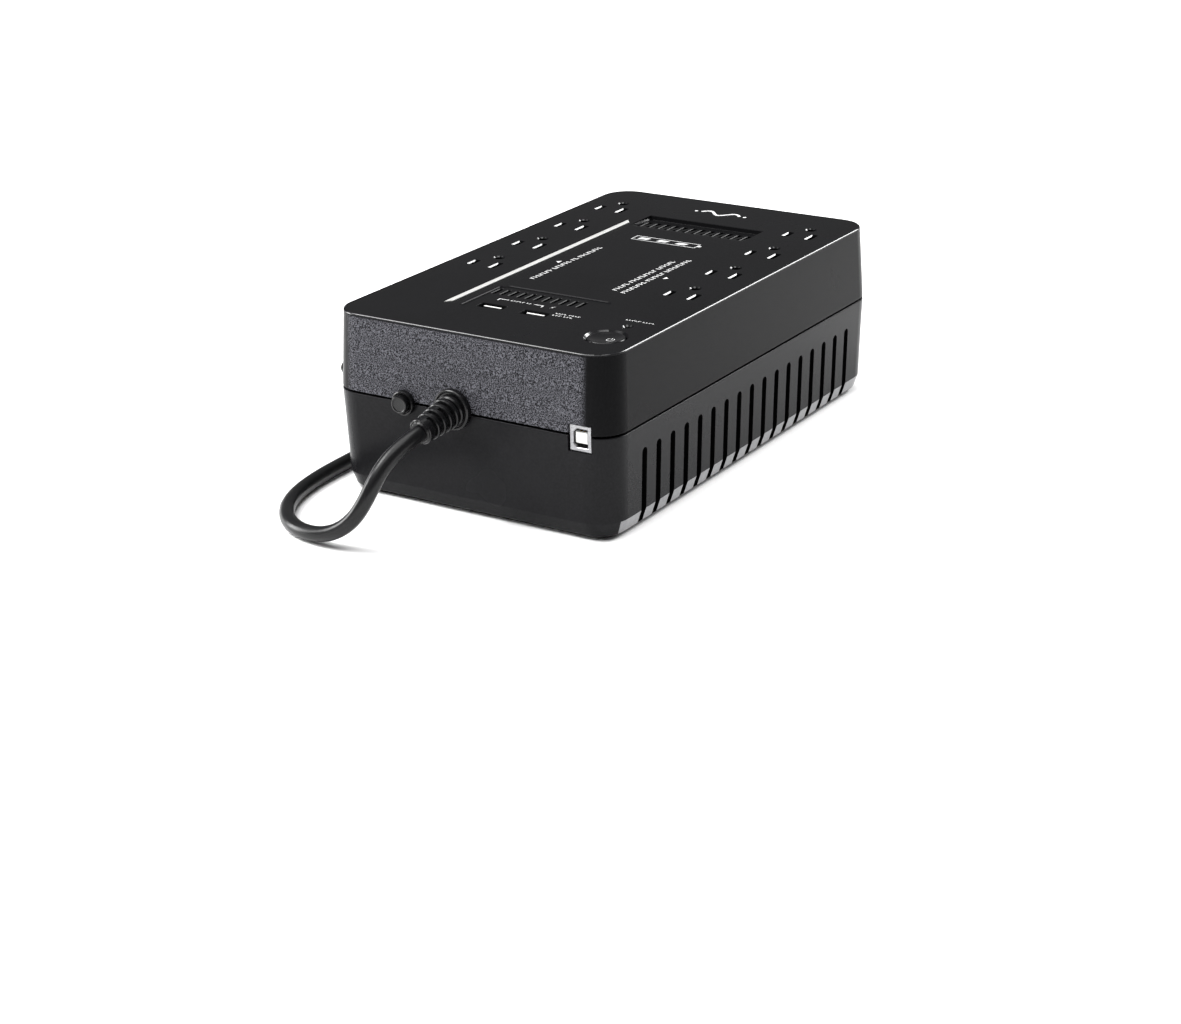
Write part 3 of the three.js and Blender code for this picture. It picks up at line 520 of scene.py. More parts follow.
# ---- The mains lead ----
# Its route from the strain relief to the surface and along the case, up to the coil.
LEAD_ROUTE = [
    (-7, -151.6, 46.9), (-7.9, -158.9, 45.2), (-9.6, -166.5, 41.8), (-11.5, -173, 36.7),
    (-13.3, -177.8, 29.9), (-16.2, -180.7, 22.5), (-20.6, -182.5, 15.5), (-26.9, -183.6, 9.9),
    (-34.5, -184, 6.2), (-43.2, -183.5, 4.3), (-52.9, -181.1, 3.7), (-62.5, -175.7, 3.7),
    (-70.9, -167.2, 3.7), (-77.5, -156.1, 3.7), (-82.2, -141.9, 3.7), (-84.8, -125.1, 3.7),
    (-86, -100, 3.7), (-86.5, -60, 3.7), (-86.6, -25, 3.7), (-86.6, 4.3, 3.7),
]
# The heights of turns on the surface, in the grooves between those, on top of one, and over everything.
LYING_Z, NESTED_Z, CROSSING_Z, OVER_Z = 3.7, 10.15, 11.0, 18.3
TURN_RADII = (44.4, 37.0, 29.6, 33.3, 40.7)
BOTTOM_TURNS = 3
SHIFT_SHARE = 0.24  # the part of each turn in which the lead moves to the next radius
SETTLE_SHARE = 0.06  # and in which it then sinks into a groove
LEAVE_START, LEAVE_SHARE = 0.74, 0.22  # where the last turn starts to climb, and for how long
TIE_BUMP = 0.3  # how far in radians the tie lifts the turns on each side of it
TIE_ANGLE = math.radians(205)
TIE_LIFT = 0.9
POINTS_PER_TURN = 90


def eased(t):
    t = min(1.0, max(0.0, t))
    return t * t * (3 - 2 * t)


def coil_points():
    points = []
    last_turn = len(TURN_RADII) - 1
    for step in range(POINTS_PER_TURN * len(TURN_RADII) + 1):
        turn_index = min(step // POINTS_PER_TURN, last_turn)
        share = step / POINTS_PER_TURN - turn_index
        angle = step / POINTS_PER_TURN * TAU
        radius, after = TURN_RADII[turn_index], TURN_RADII[min(turn_index + 1, last_turn)]
        radius += (after - radius) * eased((share - 1 + SHIFT_SHARE) / SHIFT_SHARE)
        if turn_index < BOTTOM_TURNS:
            z = LYING_Z
            if turn_index == BOTTOM_TURNS - 1:
                z += (CROSSING_Z - LYING_Z) * eased((share - 1 + 2 * SHIFT_SHARE) / SHIFT_SHARE)
        elif turn_index == last_turn and share > 0.5:
            z = NESTED_Z + (OVER_Z - NESTED_Z) * eased((share - LEAVE_START) / LEAVE_SHARE)
        else:
            away = abs(share - round(share))
            z = NESTED_Z + (CROSSING_Z - NESTED_Z) * (1 - eased((away - SHIFT_SHARE) / SETTLE_SHARE))
        off_tie = (angle - TIE_ANGLE + math.pi) % TAU - math.pi
        z += TIE_LIFT * math.exp(-((off_tie / TIE_BUMP) ** 2))
        points.append((*polar(COIL_CENTRE, radius, math.degrees(angle)), z))
    return points


def through(points, spacing):
    """A smooth line through the points, resampled evenly."""
    points = [Vector(p) for p in points]
    points = [2 * points[0] - points[1], *points, 2 * points[-1] - points[-2]]
    dense = []
    for p0, p1, p2, p3 in zip(points, points[1:], points[2:], points[3:]):
        t1 = (p1 - p0).length ** 0.5
        t2 = t1 + (p2 - p1).length ** 0.5
        t3 = t2 + (p3 - p2).length ** 0.5
        for i in range(16):
            t = t1 + (t2 - t1) * i / 16
            a1 = p0.lerp(p1, t / t1)
            a2 = p1.lerp(p2, (t - t1) / (t2 - t1))
            a3 = p2.lerp(p3, (t - t2) / (t3 - t2))
            b1 = a1.lerp(a2, t / t2)
            b2 = a2.lerp(a3, (t - t1) / (t3 - t1))
            dense.append(b1.lerp(b2, (t - t1) / (t2 - t1)))
    dense = np.array([*dense, points[-2]])
    lengths = np.concatenate([[0], np.cumsum(np.linalg.norm(np.diff(dense, axis=0), axis=1))])
    count = round(lengths[-1] / spacing)
    places = np.linspace(0, lengths[-1], count + 1)
    return np.column_stack([np.interp(places, lengths, dense[:, k]) for k in range(3)])


def relaxed(points, rounds):
    """The same line with its small kinks averaged out; its ends stay."""
    points = np.array(points, float)
    for _ in range(rounds):
        points[1:-1] = points[1:-1] / 2 + (points[:-2] + points[2:]) / 4
    return points


PLUG_LOW, PLUG_HIGH = box_mm("plug_body")
PLUG_X = middle_mm("plug_body")[0]
PLUG_Z = 10.4
INSIDE_BOOT = BOOT_TIP + np.array([0, 5.0, 0.4])
INSIDE_PLUG = np.array([PLUG_X, PLUG_LOW[1] + 3, PLUG_Z])
LEAVING = ((9, 18.1), (17, 16.6), (25, 13.6), (31.5, 11.4))  # how far past the coil's middle, and how high


def cord_points():
    lead = [(x, y + CY, z) for x, y, z in LEAD_ROUTE]
    leaving = [(COIL_CENTRE[0] + TURN_RADII[-1], COIL_CENTRE[1] + ahead, z) for ahead, z in LEAVING]
    route = [INSIDE_BOOT, *lead, *coil_points()[::3], *leaving, INSIDE_PLUG]
    return relaxed(through(route, spacing=2.0), rounds=4)


def cord_curve():
    data = bpy.data.curves.new("mains_lead", "CURVE")
    data.dimensions = "3D"
    data.bevel_depth = CORD_RADIUS * MM
    data.bevel_resolution = 8
    data.use_fill_caps = True
    points = cord_points() * MM
    spline = data.splines.new("POLY")
    spline.points.add(len(points) - 1)
    spline.points.foreach_set("co", np.column_stack([points, np.ones(len(points))]).ravel())
    spline.use_smooth = True
    return linked("mains_lead", data)


lead = cord_curve()
dress(lead, JACKET, "cord_jacket", ["cord_lead", "cord_coil", "cord_tail"])


def coil_tie():
    """A strip of hook tape round the whole bundle."""
    radial = np.array([math.cos(TIE_ANGLE), math.sin(TIE_ANGLE), 0])
    along = np.array([-radial[1], radial[0], 0])
    middle = np.array([*COIL_CENTRE, 0]) + radial * TURN_RADII[1]
    half_width, thickness = 5.0, 0.6
    clear = CORD_RADIUS + 0.25
    bends = ((7.4, LYING_Z, -90, 30), (3.7, NESTED_Z, 30, 90), (-3.7, NESTED_Z, 90, 150),
             (-7.4, LYING_Z, 150, 270))
    sections = []
    for out, z, start, end in bends:
        for i in range(9):
            degrees = start + (end - start) * i / 8
            line = [polar((out, z + TIE_LIFT), clear + more, degrees) for more in (0, thickness)]
            inner, outer = (middle + radial * a + np.array([0, 0, max(0.02, b)]) for a, b in line)
            sections.append([inner - along * half_width, outer - along * half_width,
                             outer + along * half_width, inner + along * half_width])
    return stack(sections, closed=True)


tie = piece("coil_tie", coil_tie(), HOOK_TAPE, "black_rubber")


# ---- Plug ----
def plug_solid():
    """A body with grip ridges, and a ribbed neck that flexes with the lead."""
    sizes = [(0, 4.4, 4.4, 4.2), (0.5, 5.0, 5.0, 4.8)]
    for i in range(3):
        start = 1.5 + i * 2.6
        sizes += [(start, 5.1, 5.1, 4.9), (start + 0.4, 4.4, 4.4, 4.2), (start + 1.2, 4.4, 4.4, 4.2),
                  (start + 1.6, 5.2, 5.2, 5.0)]
    sizes += [(9.4, 5.6, 5.6, 5.3), (10.6, 7.9, 7.4, 6.2), (12.5, 10.0, 8.6, 6.8)]
    for i in range(4):
        start, grow = 14.0 + i * 2.4, min(1.0, i / 2)
        ridge = ((0, 11.4, 9.2, 6.8), (0.3, 10.8, 8.6, 6.5), (1.0, 10.8, 8.6, 6.5), (1.3, 11.5, 9.3, 6.8))
        sizes += [
            (start + y, half_x + grow, half_z + grow * 0.6, radius) for y, half_x, half_z, radius in ridge
        ]
    length = PLUG_HIGH[1] - PLUG_LOW[1]
    sizes += [(24.4, 12.9, 9.9, 6.9), (length - 1.6, 13.0, 10.0, 6.9), (length - 0.5, 12.7, 9.7, 6.6),
              (length, 12.1, 9.1, 6.1)]
    return stack([
        across_y(rounded(half_x, half_z, radius, (PLUG_X, PLUG_Z), 8, 0.1), PLUG_LOW[1] + y)
        for y, half_x, half_z, radius in sizes
    ])


def plug_blade(node):
    low, high = box_mm(node)
    middle, half = middle_mm(node), half_mm(node)
    rings = []
    for y, narrower, drop in ((low[1], 0, 0), (high[1] - 1.6, 0, 0), (high[1], 0.45, 0.9)):
        x0, x1 = middle[0] - half[0] * (1 - narrower), middle[0] + half[0] * (1 - narrower)
        z0, z1 = low[2] + drop, high[2] - drop
        rings.append(across_y([(x0, z0), (x1, z0), (x1, z1), (x0, z1)], y))
    blade = solid_object(node.replace("plug", "lead_plug"), stack(rings))
    hole_y = high[1] - 4.2
    carve(blade, rod(1.6, (middle[0] - 3, hole_y, middle[2]), (middle[0] + 3, hole_y, middle[2]), 20))
    return blade


def ground_pin():
    low, high = box_mm("plug_ground_pin")
    radius, length = half_mm("plug_ground_pin")[0], high[1] - low[1]
    profile = [(0, 0), (radius, 0), (radius, length - 2.4), (radius * 0.92, length - 1.3),
               (radius * 0.7, length - 0.5), (radius * 0.4, length - 0.1), (0, length)]
    return lathe(profile, (PLUG_X, low[1], middle_mm("plug_ground_pin")[2]), (0, 1, 0), 24)


plug = piece("lead_plug", plug_solid(), RUBBER, "black_rubber", ["plug_body"])
BLADES = ("plug_blade_line", "plug_blade_neutral")
plug_parts = [
    *[dress(plug_blade(node), NICKEL, "nickel", [node]) for node in BLADES],
    piece("lead_plug_ground_pin", ground_pin(), NICKEL, "nickel", ["plug_ground_pin"]),
]

# ---- Strain relief ----
RELIEF_START = np.array([RELIEF_X, END_Y - 0.3, RELIEF_Z])
BOOT_START = RELIEF_START - np.array([0, 1.5, 0])
BOOT_LINE = Vector(BOOT_TIP - BOOT_START)
RIBS = 5
RIB_PITCH = 4.0
FIRST_RIB = 3.6


def boot_rib_radius(i):
    return 7.3 + (5.9 - 7.3) * i / (RIBS - 1)


def relief_solids():
    collar_profile = [(0, -4.0), (RELIEF_NECK, -4.0), (RELIEF_NECK, 0), (9.3, 0), (9.5, 0.25), (9.5, 1.9),
                      (9.35, 2.4), (9.0, 2.75), (8.5, 2.9), (8.1, 2.7), (8.0, 2.3), (0, 2.3)]
    collar = lathe(collar_profile, RELIEF_START, (0, -1, 0), 64)
    profile = [(0, 0.2), (7.4, 0.2), (7.4, 2.0), (6.9, 2.6), (5.3, 2.9)]
    for i in range(RIBS):
        start = FIRST_RIB + i * RIB_PITCH
        radius = boot_rib_radius(i)
        core = 5.3 - 0.7 * i / (RIBS - 1)
        width = 2.2 if i + 1 < RIBS else 3.6
        profile += [(core, start - 0.1), (radius - 0.45, start), (radius, start + 0.35),
                    (radius, start + width - 0.5), (radius - 0.4, start + width - 0.1)]
        if i + 1 < RIBS:
            profile.append((core - 0.1, start + width))
    length = BOOT_LINE.length
    profile += [(5.0, length - 0.7), (4.5, length - 0.1), (4.0, length), (0, length)]
    return collar, lathe(profile, BOOT_START, BOOT_LINE, 64)


def relief_webs():
    """Pairs of short bridges between the ribs, turned a quarter from one groove to the next."""
    axis = BOOT_LINE.normalized()
    side = Vector((1, 0, 0))
    up = side.cross(axis)
    webs = []
    for i in range(RIBS - 1):
        origin = Vector(BOOT_START) + axis * (FIRST_RIB + i * RIB_PITCH + 1.2)
        outward, across = (up, side) if i % 2 else (side, up)
        reach = boot_rib_radius(i + 1) - 0.35
        for sign in (-1, 1):
            corners = ((3, -1.6), (reach, -1.6), (reach, 1.6), (3, 1.6))
            ring = [origin + outward * sign * out + across * over for out, over in corners]
            webs.append(stack([ring, [p + axis * (RIB_PITCH - 0.4) for p in ring]]))
    return webs


relief_collar, relief_boot = relief_solids()
relief = solid_object("relief_boot", relief_boot)
for web in relief_webs():
    carve(relief, web, operation="UNION")
carve(relief, relief_collar, operation="UNION")
dress(relief, RUBBER, "black_rubber", ["strain_relief"], angle=28)


# ---- The two halves of the case ----
def form_ring(low, high, share, inset, z):
    """The case's rounded outline, some share of the way between two sizes."""
    half_x, half_y = low + (high - low) * share - inset
    return at_height(rounded(half_x, half_y, CORNER_RADIUS - inset, (0, CY)), z)


def cover_ring(z, inset):
    return form_ring(SEAM_HALF, TOP_HALF, (z - SEAM_Z) / (TOP_Z - SEAM_Z), inset, z)


def case_ring(z, inset):
    """Below the shoulder the wall has no taper, so the shape there comes from the inset alone."""
    return form_ring(BASE_HALF, SEAM_HALF, max(0, z - SHOULDER_Z) / (SEAM_Z - SHOULDER_Z), inset, z)


def skinned(ring, *levels):
    return stack([ring(z, inset) for z, inset in levels])


def at_cy(*places):
    """Places given from the case's own middle."""
    return [(x, y + CY) for x, y in places]


def cover_form():
    rim, fillet = SEAM_Z + SEAM_GAP / 2, 0.8
    edge = [(TOP_Z - fillet + up, fillet - out) for out, up in arc((0, 0), fillet, 0, 90, 6)]
    return skinned(cover_ring, (rim, 0.3), (rim + 0.15, 0.08), (rim + 0.4, 0), (rim + 0.8, 0),
                   (TOP_Z - fillet - 0.2, 0), *edge, (TOP_Z, fillet + 0.5))


def blade_slot(x, y, length):
    levels = ((0, -WALL - 1), (0, -0.75), (0.1, -0.55), (0.55, 0), (0.95, 0.4))
    levels = [((grow, grow / 6), grow / 6, TOP_Z + z) for grow, z in levels]
    return tapered((1.2, length / 2), 0.35, (x, y), levels)


def flared_hole(place, radius, levels, depth=WALL + 1, sides=36):
    """A round hole down from the top. Each level is how much wider it gets, and its height from the top."""
    profile = [(0, -depth), (radius, -depth), *[(radius + grow, z) for grow, z in levels], (0, levels[-1][1])]
    return lathe(profile, (*place[:2], TOP_Z), sides=sides)


def outlet_openings():
    solids = []
    flare = ((0, -1), (0.05, -0.55), (0.6, 0), (1.0, 0.4))
    for x, y, _ in OUTLETS:
        solids += [blade_slot(x - BLADE_X, y, 7.4), blade_slot(x + BLADE_X, y, 9.0),
                   flared_hole((x, y + GROUND_Y), 2.4, flare)]
    return solids


def grille(spec, top):
    half = (spec["half"], (spec["far"] - spec["near"]) / 2)
    y = (spec["near"] + spec["far"]) / 2
    levels = ((0, 0, 76), (0, 0, top - 0.3), (0.25, 0, top), (0.25, 0, TOP_Z + 1))
    places = [(spec["first"] + i * spec["pitch"], y) for i in range(spec["count"])]
    return [tapered(half, min(half) * 0.9, place, levels, 5) for place in places]


def scoop():
    """A tray that slopes down from the surface to a wall on its far side."""
    near, far, depth = SCOOP["near"], SCOOP["far"], SCOOP["depth"]
    outline = [(near, 1.0), (near, 0.02), (near + 2, -0.12), (near + 6, -0.6), (far - 1.0, -depth),
               (far - 0.4, -depth + 0.1), (far - 0.2, -depth + 0.35), (far, -0.2), (far + 0.3, 0),
               (far + 0.3, 1.0)]
    left, right = SCOOP["left"], SCOOP["right"]
    return stack([
        [(x, y, TOP_Z + min(1.0, z * (1 - shallower))) for y, z in outline]
        for x, shallower in ((left, 0.4), (left + 0.6, 0.0), (right - 0.6, 0.0), (right, 0.4))
    ])


def stripe_outline(margin):
    low, high = box_mm("inlay_stripe")
    slant = 3
    return [(high[0] + margin, low[1] + slant - margin), (high[0] + margin, high[1] - slant + margin),
            (low[0] - margin, high[1] + margin), (low[0] - margin, low[1] - margin)]


def port_opening(middle):
    levels = ((0, -WALL - 1), (0, -1.1), (0.35, -0.5), (0.35, 1))
    return tapered(PORT_HALF, 0.7, middle[:2], [(grow, grow, TOP_Z + z) for grow, z in levels])


def end_openings():
    """Through the near end, shared by both halves: for the breaker, the strain relief and the data port."""
    low, high = DATA_LOW - DATA_ROOM, DATA_HIGH + DATA_ROOM
    round_holes = ((BREAKER_NECK, BREAKER[0], SEAM_Z), (RELIEF_NECK, RELIEF_X, RELIEF_Z))
    return [
        *[rod(radius + 0.3, (x, END_Y - 5, z), (x, END_Y + 8, z)) for radius, x, z in round_holes],
        box((low[0], high[0]), (END_Y - 5, END_Y + 8), (low[2], high[2])),
    ]


def button_well():
    return flared_hole(BUTTON, BUTTON_RADIUS + 0.35, ((0, -1.15), (0.1, -1.05), (1.0, 0), (1.4, 0.5)), 10, 72)


def led_hole():
    return flared_hole(LED, LED_HOLE, ((0, -0.8), (0.8, 0), (1.2, 0.4)))


def port_panel():
    """The shallow panel round the charging ports, stepped back at its near left."""
    left, right, near, near_left, far, depth = PANEL.values()
    rings = []
    for grow, z in ((-0.35, -depth), (-0.05, -depth + 0.2), (0.25, 0), (0.75, 0.4)):
        x0, x1, y0, y1, step = left - grow, right + grow, near - grow, far + grow, near_left - grow
        corners = ((x1 - 4, y0 + 4), (x1 - 4, y1 - 4), (x0 + 4, y1 - 4), (x0 + 4, step + 4))
        outline = [(8 - grow / 3, y0)]
        for i, middle in enumerate(corners):
            outline += arc(middle, 4, 90 * i - 90, 90 * i, 6)
        rings.append(at_height([*outline, (-6 - grow / 3, step)], TOP_Z + z))
    return stack(rings)


# The undersides of what hangs from the top inside, and the tops of what stands on the floor.
PAD_Z, BUTTON_WALL_Z, COVER_POST_Z, BOSS_Z = 80.8, 77.0, 69.9, 38.3
PARTITION_Z, CASE_POST_Z, TUBE_Z, SCREW_WELL_Z = 58.0, 59.7, 38.0, 24.0
# The radius of a screw's hole, and a place beyond the far end.
SCREW_HOLE = 1.8
PAST_END = CY + 140


def make_cover():
    cover = solid_object("cover_shell", cover_form())
    carve(cover, skinned(cover_ring, (SEAM_Z - 1, WALL), (TOP_Z - WALL, WALL)))
    left, right, near, far, depth = SCOOP.values()
    pad = box((left - 2, right + 2), (near - 2, far + 2), (PAD_Z, TOP_Z - 1))
    well_wall = uprights([BUTTON], BUTTON_RADIUS + 1.75, BUTTON_WALL_Z, TOP_Z - 1, 48)
    posts = uprights(at_cy((-21, -76), (-21, -100), (38, -100)), 2.4, COVER_POST_Z, TOP_Z - 1, 20)
    carve(cover, pad, *well_wall, *posts, operation="UNION")
    carve(cover, *uprights(SCREWS, 4.2, BOSS_Z, TOP_Z - 1, 24), operation="UNION")
    carve(cover, port_panel(), scoop(), prism(stripe_outline(0.15), TOP_Z - 1, TOP_Z + 1))
    carve(
        cover, *outlet_openings(), *map(port_opening, CHARGE_PORTS), button_well(), led_hole(),
        *end_openings(),
        *grille(NEAR_GRILLE, TOP_Z - PANEL["depth"]), *grille(FAR_GRILLE, TOP_Z - depth * 0.6),
        *uprights(SCREWS, SCREW_HOLE, BOSS_Z - 1.3, BOSS_Z + 13.7, 16),
    )
    return cover


def case_form():
    """Below the shoulder the wall leans in: a steep facet first, then a narrow one down to the sole."""
    rim = SEAM_Z - SEAM_GAP / 2
    return skinned(
        case_ring, (SOLE_Z, SOLE_INSET + 1.2), (SOLE_Z, SOLE_INSET + 0.3), (SOLE_Z + 0.12, SOLE_INSET),
        (FACET_Z - 0.15, FACET_INSET + 0.2), (FACET_Z + 0.15, FACET_INSET - 0.05), (SHOULDER_Z - 0.35, 0.13),
        (SHOULDER_Z, 0.03), (SHOULDER_Z + 0.35, 0), (SHOULDER_Z + 0.7, 0), (rim - 0.8, 0), (rim - 0.4, 0),
        (rim - 0.15, 0.08), (rim, 0.3),
    )


def case_hollow():
    return skinned(case_ring, (FLOOR_Z, FACET_INSET + WALL - 0.4), (SHOULDER_Z, WALL), (SEAM_Z + 10, WALL))


def vents():
    """Slots with round tops through both side walls."""
    half, top, bottom = VENT["half"], VENT["top"], VENT["bottom"]
    outline = [(-half, bottom), (half, bottom), *arc((0, top - half), half, 0, 180, 10)]
    rows = [VENT["first"] + i * VENT["pitch"] for i in range(VENT["count"])]
    return [
        stack([[(side * x, y + across, z) for across, z in outline] for x in (66, 80)])
        for y in rows for side in (-1, 1)
    ]


def door_openings():
    """The door's opening, and the room for the tongues on its far edge."""
    half = DOOR_HIGH[0] + 0.3
    return (box((-half, half), (DOOR_LOW[1] - 0.3, PAST_END), (SOLE_Z - 2, FLOOR_Z + 0.1)),
            box((-half, half), (CY + 116, CY + 141), (SOLE_Z - 3, DOOR_HIGH[2] + 0.3)))


def seam_lip():
    """The inner lip that closes the seam from behind."""
    lip = WALL + 0.6
    levels = ((43.5, 1.5), (SEAM_Z - 0.8, 1.5), (SEAM_Z - 0.8, lip), (SEAM_Z + 3, lip))
    ring = solid_object("lip", skinned(case_ring, *levels))
    carve(ring, skinned(case_ring, (40, lip + 1.2), (SEAM_Z + 5, lip + 1.2)))
    points = np.array([v.co for v in ring.data.vertices]) / MM
    faces = [list(face.vertices) for face in ring.data.polygons]
    bpy.data.objects.remove(ring)
    return points, faces


def make_case():
    case = solid_object("case_shell", case_form())
    carve(case, case_hollow())
    carve(case, seam_lip(), operation="UNION")
    partition = box((-60, 60), (CY - 1, CY + 1.5), (FLOOR_Z - 1, PARTITION_Z))
    post_places = at_cy((-53, -110), (45, -112), (-53, -52), (53, -52))
    board_posts = uprights(post_places, 3, FLOOR_Z - 1, CASE_POST_Z, 20)
    carve(case, *uprights(SCREWS, 4.9, FLOOR_Z - 1, TUBE_Z, 32), partition, *board_posts, operation="UNION")
    for opening in door_openings():
        carve(case, opening)
    feet = uprights(FEET, 6.3, SOLE_Z - 2, SOLE_Z + 0.8, 40)
    screw_wells = uprights(SCREWS, 3.3, SOLE_Z - 1, SCREW_WELL_Z, 24)
    carve(case, *feet, *screw_wells, *end_openings())
    carve(case, *uprights(SCREWS, SCREW_HOLE, SCREW_WELL_Z - 1, TUBE_Z + 1, 16))
    carve(case, *vents())
    return case


def second_material(obj, material, chosen):
    """Gives the faces for which chosen(centre in mm, normal) is true another material."""
    obj.data.materials.append(material)
    index = len(obj.data.materials) - 1
    for face in obj.data.polygons:
        if chosen([value / MM for value in face.center], face.normal):
            face.material_index = index


def polish_edges(cover):
    """The rounded top edge and the flares of the openings are glossier than the flat top."""
    def chosen(place, normal):
        x, y, z = place
        in_panel = PANEL["left"] - 2 < x < PANEL["right"] - 0.5 and PANEL["near"] - 2 < y < PANEL["far"] + 2
        outside = abs(x) > TOP_HALF[0] - 2 or abs(y - CY) > TOP_HALF[1] - 2
        return z > TOP_Z - 1.3 and 0.12 < normal.z < 0.98 and (outside or (normal.x > 0.35 and not in_panel))

    second_material(cover, EDGE_GLOSS, chosen)


def finish_case(case):
    """The slot walls and the seam lip get a near-black matte material as painted shade, where the real case
    lies in deep shade; the bevels between slots get a glossier material whose light grey colour is a painted
    reflection of the bright floor.
    """
    def in_shade(place, normal):
        x, y, z = abs(place[0]), abs(place[1]), place[2]
        in_slot = x > 68 and y < 105 and VENT["bottom"] - 0.1 < z < VENT["top"] + 0.1 and abs(normal.x) < 0.3
        return in_slot or z > SEAM_Z - SEAM_GAP / 2 + 0.01

    # Painted shade: the slot walls and the seam lip get the near-black material.
    second_material(case, VENT_PAINTED_SHADE, in_shade)
    # Painted reflection: the bevels between slots get the light grey material.
    second_material(case, BEVEL_PAINTED_REFLECTION, lambda place, normal: abs(normal.x) > 0.9 and FACET_Z < place[2] < SHOULDER_Z
                    and -0.5 < normal.z < -0.2 and abs(place[0]) > 70)


def make_door():
    door = solid_object("door_panel", case_form())
    slab = box((DOOR_LOW[0], DOOR_HIGH[0]), (DOOR_LOW[1], PAST_END), (SOLE_Z - 1, DOOR_HIGH[2]))
    carve(door, slab, operation="INTERSECT")
    carve(door, case_hollow())
    starts = [CY + 12 + i * 4 for i in range(5)]
    grips = [box((-16, 16), (start, start + 1.6), (SOLE_Z - 1, SOLE_Z + 0.7)) for start in starts]
    arrow = prism(at_cy((-7, 36), (7, 36), (0, 44)), SOLE_Z - 1, SOLE_Z + 0.5)
    carve(door, *grips, arrow)
    return door


dress(make_cover(), COVER, "cover_plastic", ["top_cover"])
polish_edges(bpy.data.objects["cover_shell"])
dress(make_case(), CASE, "case_plastic", ["bottom_case"])
finish_case(bpy.data.objects["case_shell"])
dress(make_door(), CASE, "case_plastic", ["battery_door"], body="battery_door")


# ---- Inlay stripe ----
def stripe_solid():
    top = box_mm("inlay_stripe")[1][2]
    levels = ((-0.1, TOP_Z - 0.95), (-0.1, TOP_Z - 0.1), (-0.2, top - 0.07), (-0.4, top))
    return stack([at_height(stripe_outline(margin), z) for margin, z in levels])


piece("stripe_inlay", stripe_solid(), STRIPE, "stripe", ["inlay_stripe"], angle=50)


# ---- Feet ----
def foot_solid(x, y):
    profile = [(0, 0.35), (2.2, 0.35), (2.6, 0.05), (3.0, 0), (5.2, 0), (5.7, 0.15), (5.95, 0.5), (6.0, 0.8),
               (6.0, 1.7), (0, 1.7)]
    return lathe(profile, (x, y, 0), sides=40)


for i, (x, y, _) in enumerate(FEET, 1):
    piece(f"rubber_foot_{i}", foot_solid(x, y), RUBBER, "black_rubber", [f"foot_{i}"])


# ---- Power button and its light ----
CROWN = box_mm("power_button")[1][2]
DISH_RADIUS = BUTTON_RADIUS - 1.3
DISH_DEPTH = 1.1


def dish_height(r):
    return CROWN - DISH_DEPTH * (1 - (r / DISH_RADIUS) ** 2) ** 0.8


def button_solid():
    """A cap on a stem. Its rim is rounded and its face is a shallow dish."""
    low, stem, radius, round_edge = box_mm("power_button")[0][2], 3.6, BUTTON_RADIUS, 0.7
    rim = arc((radius - round_edge, CROWN - round_edge), round_edge, 18, 90, 4)
    dish = [DISH_RADIUS * (1 - i / 14) for i in range(1, 15)]
    profile = [(0, low), (stem, low), (stem, CROWN - 5), (radius, CROWN - 5), (radius, CROWN - 0.9), *rim,
               (radius - 1.1, CROWN - 0.02), *[(r, dish_height(r)) for r in dish]]
    return lathe(profile, (*BUTTON[:2], 0), sides=96)


def on_dish(points):
    """Flat points round the button's middle, laid on its dish."""
    return [(BUTTON[0] + x, BUTTON[1] + y, dish_height(math.hypot(x, y))) for x, y in points]


def ribbon(left, right, lift=0.045, sink=0.03):
    """A thin band of ink between two lines of points."""
    up, down = np.array([0, 0, lift]), np.array([0, 0, sink])
    return stack([[a - down, b - down, b + up, a + up] for a, b in zip(np.array(left), np.array(right))])


def power_symbol():
    """The usual open ring and stroke, to the right of the dish's middle."""
    middle, radius, thick = (2.0, 0.4), 1.75, 0.13
    ring = [on_dish(arc(middle, radius + side * thick, 125, 415, 40)) for side in (1, -1)]
    heights = [middle[1] + 0.35 + i * 0.45 for i in range(5)]
    stroke = [on_dish([(middle[0] + side * thick, y) for y in heights]) for side in (-1, 1)]
    return joined(ribbon(*ring), ribbon(*stroke))


piece("button_cap", button_solid(), BUTTON_BLACK, "button_plastic", ["power_button"], body="power_button")
piece("button_symbol", power_symbol(), INK, "white_plastic", body="power_button")


def led_solid():
    low, high = box_mm("power_led")
    radius, dome = half_mm("power_led")[0], 0.9
    shoulder = high[2] - low[2] - 0.7 - dome
    domed = [(radius * x, shoulder + dome * y) for x, y in arc((0, 0), 1, 15, 90, 5)]
    return lathe([(0, 0), (radius, 0), (radius, shoulder), *domed], (*LED[:2], low[2]), sides=32)


piece("led_lens", led_solid(), LENS, "lens", ["power_led"])


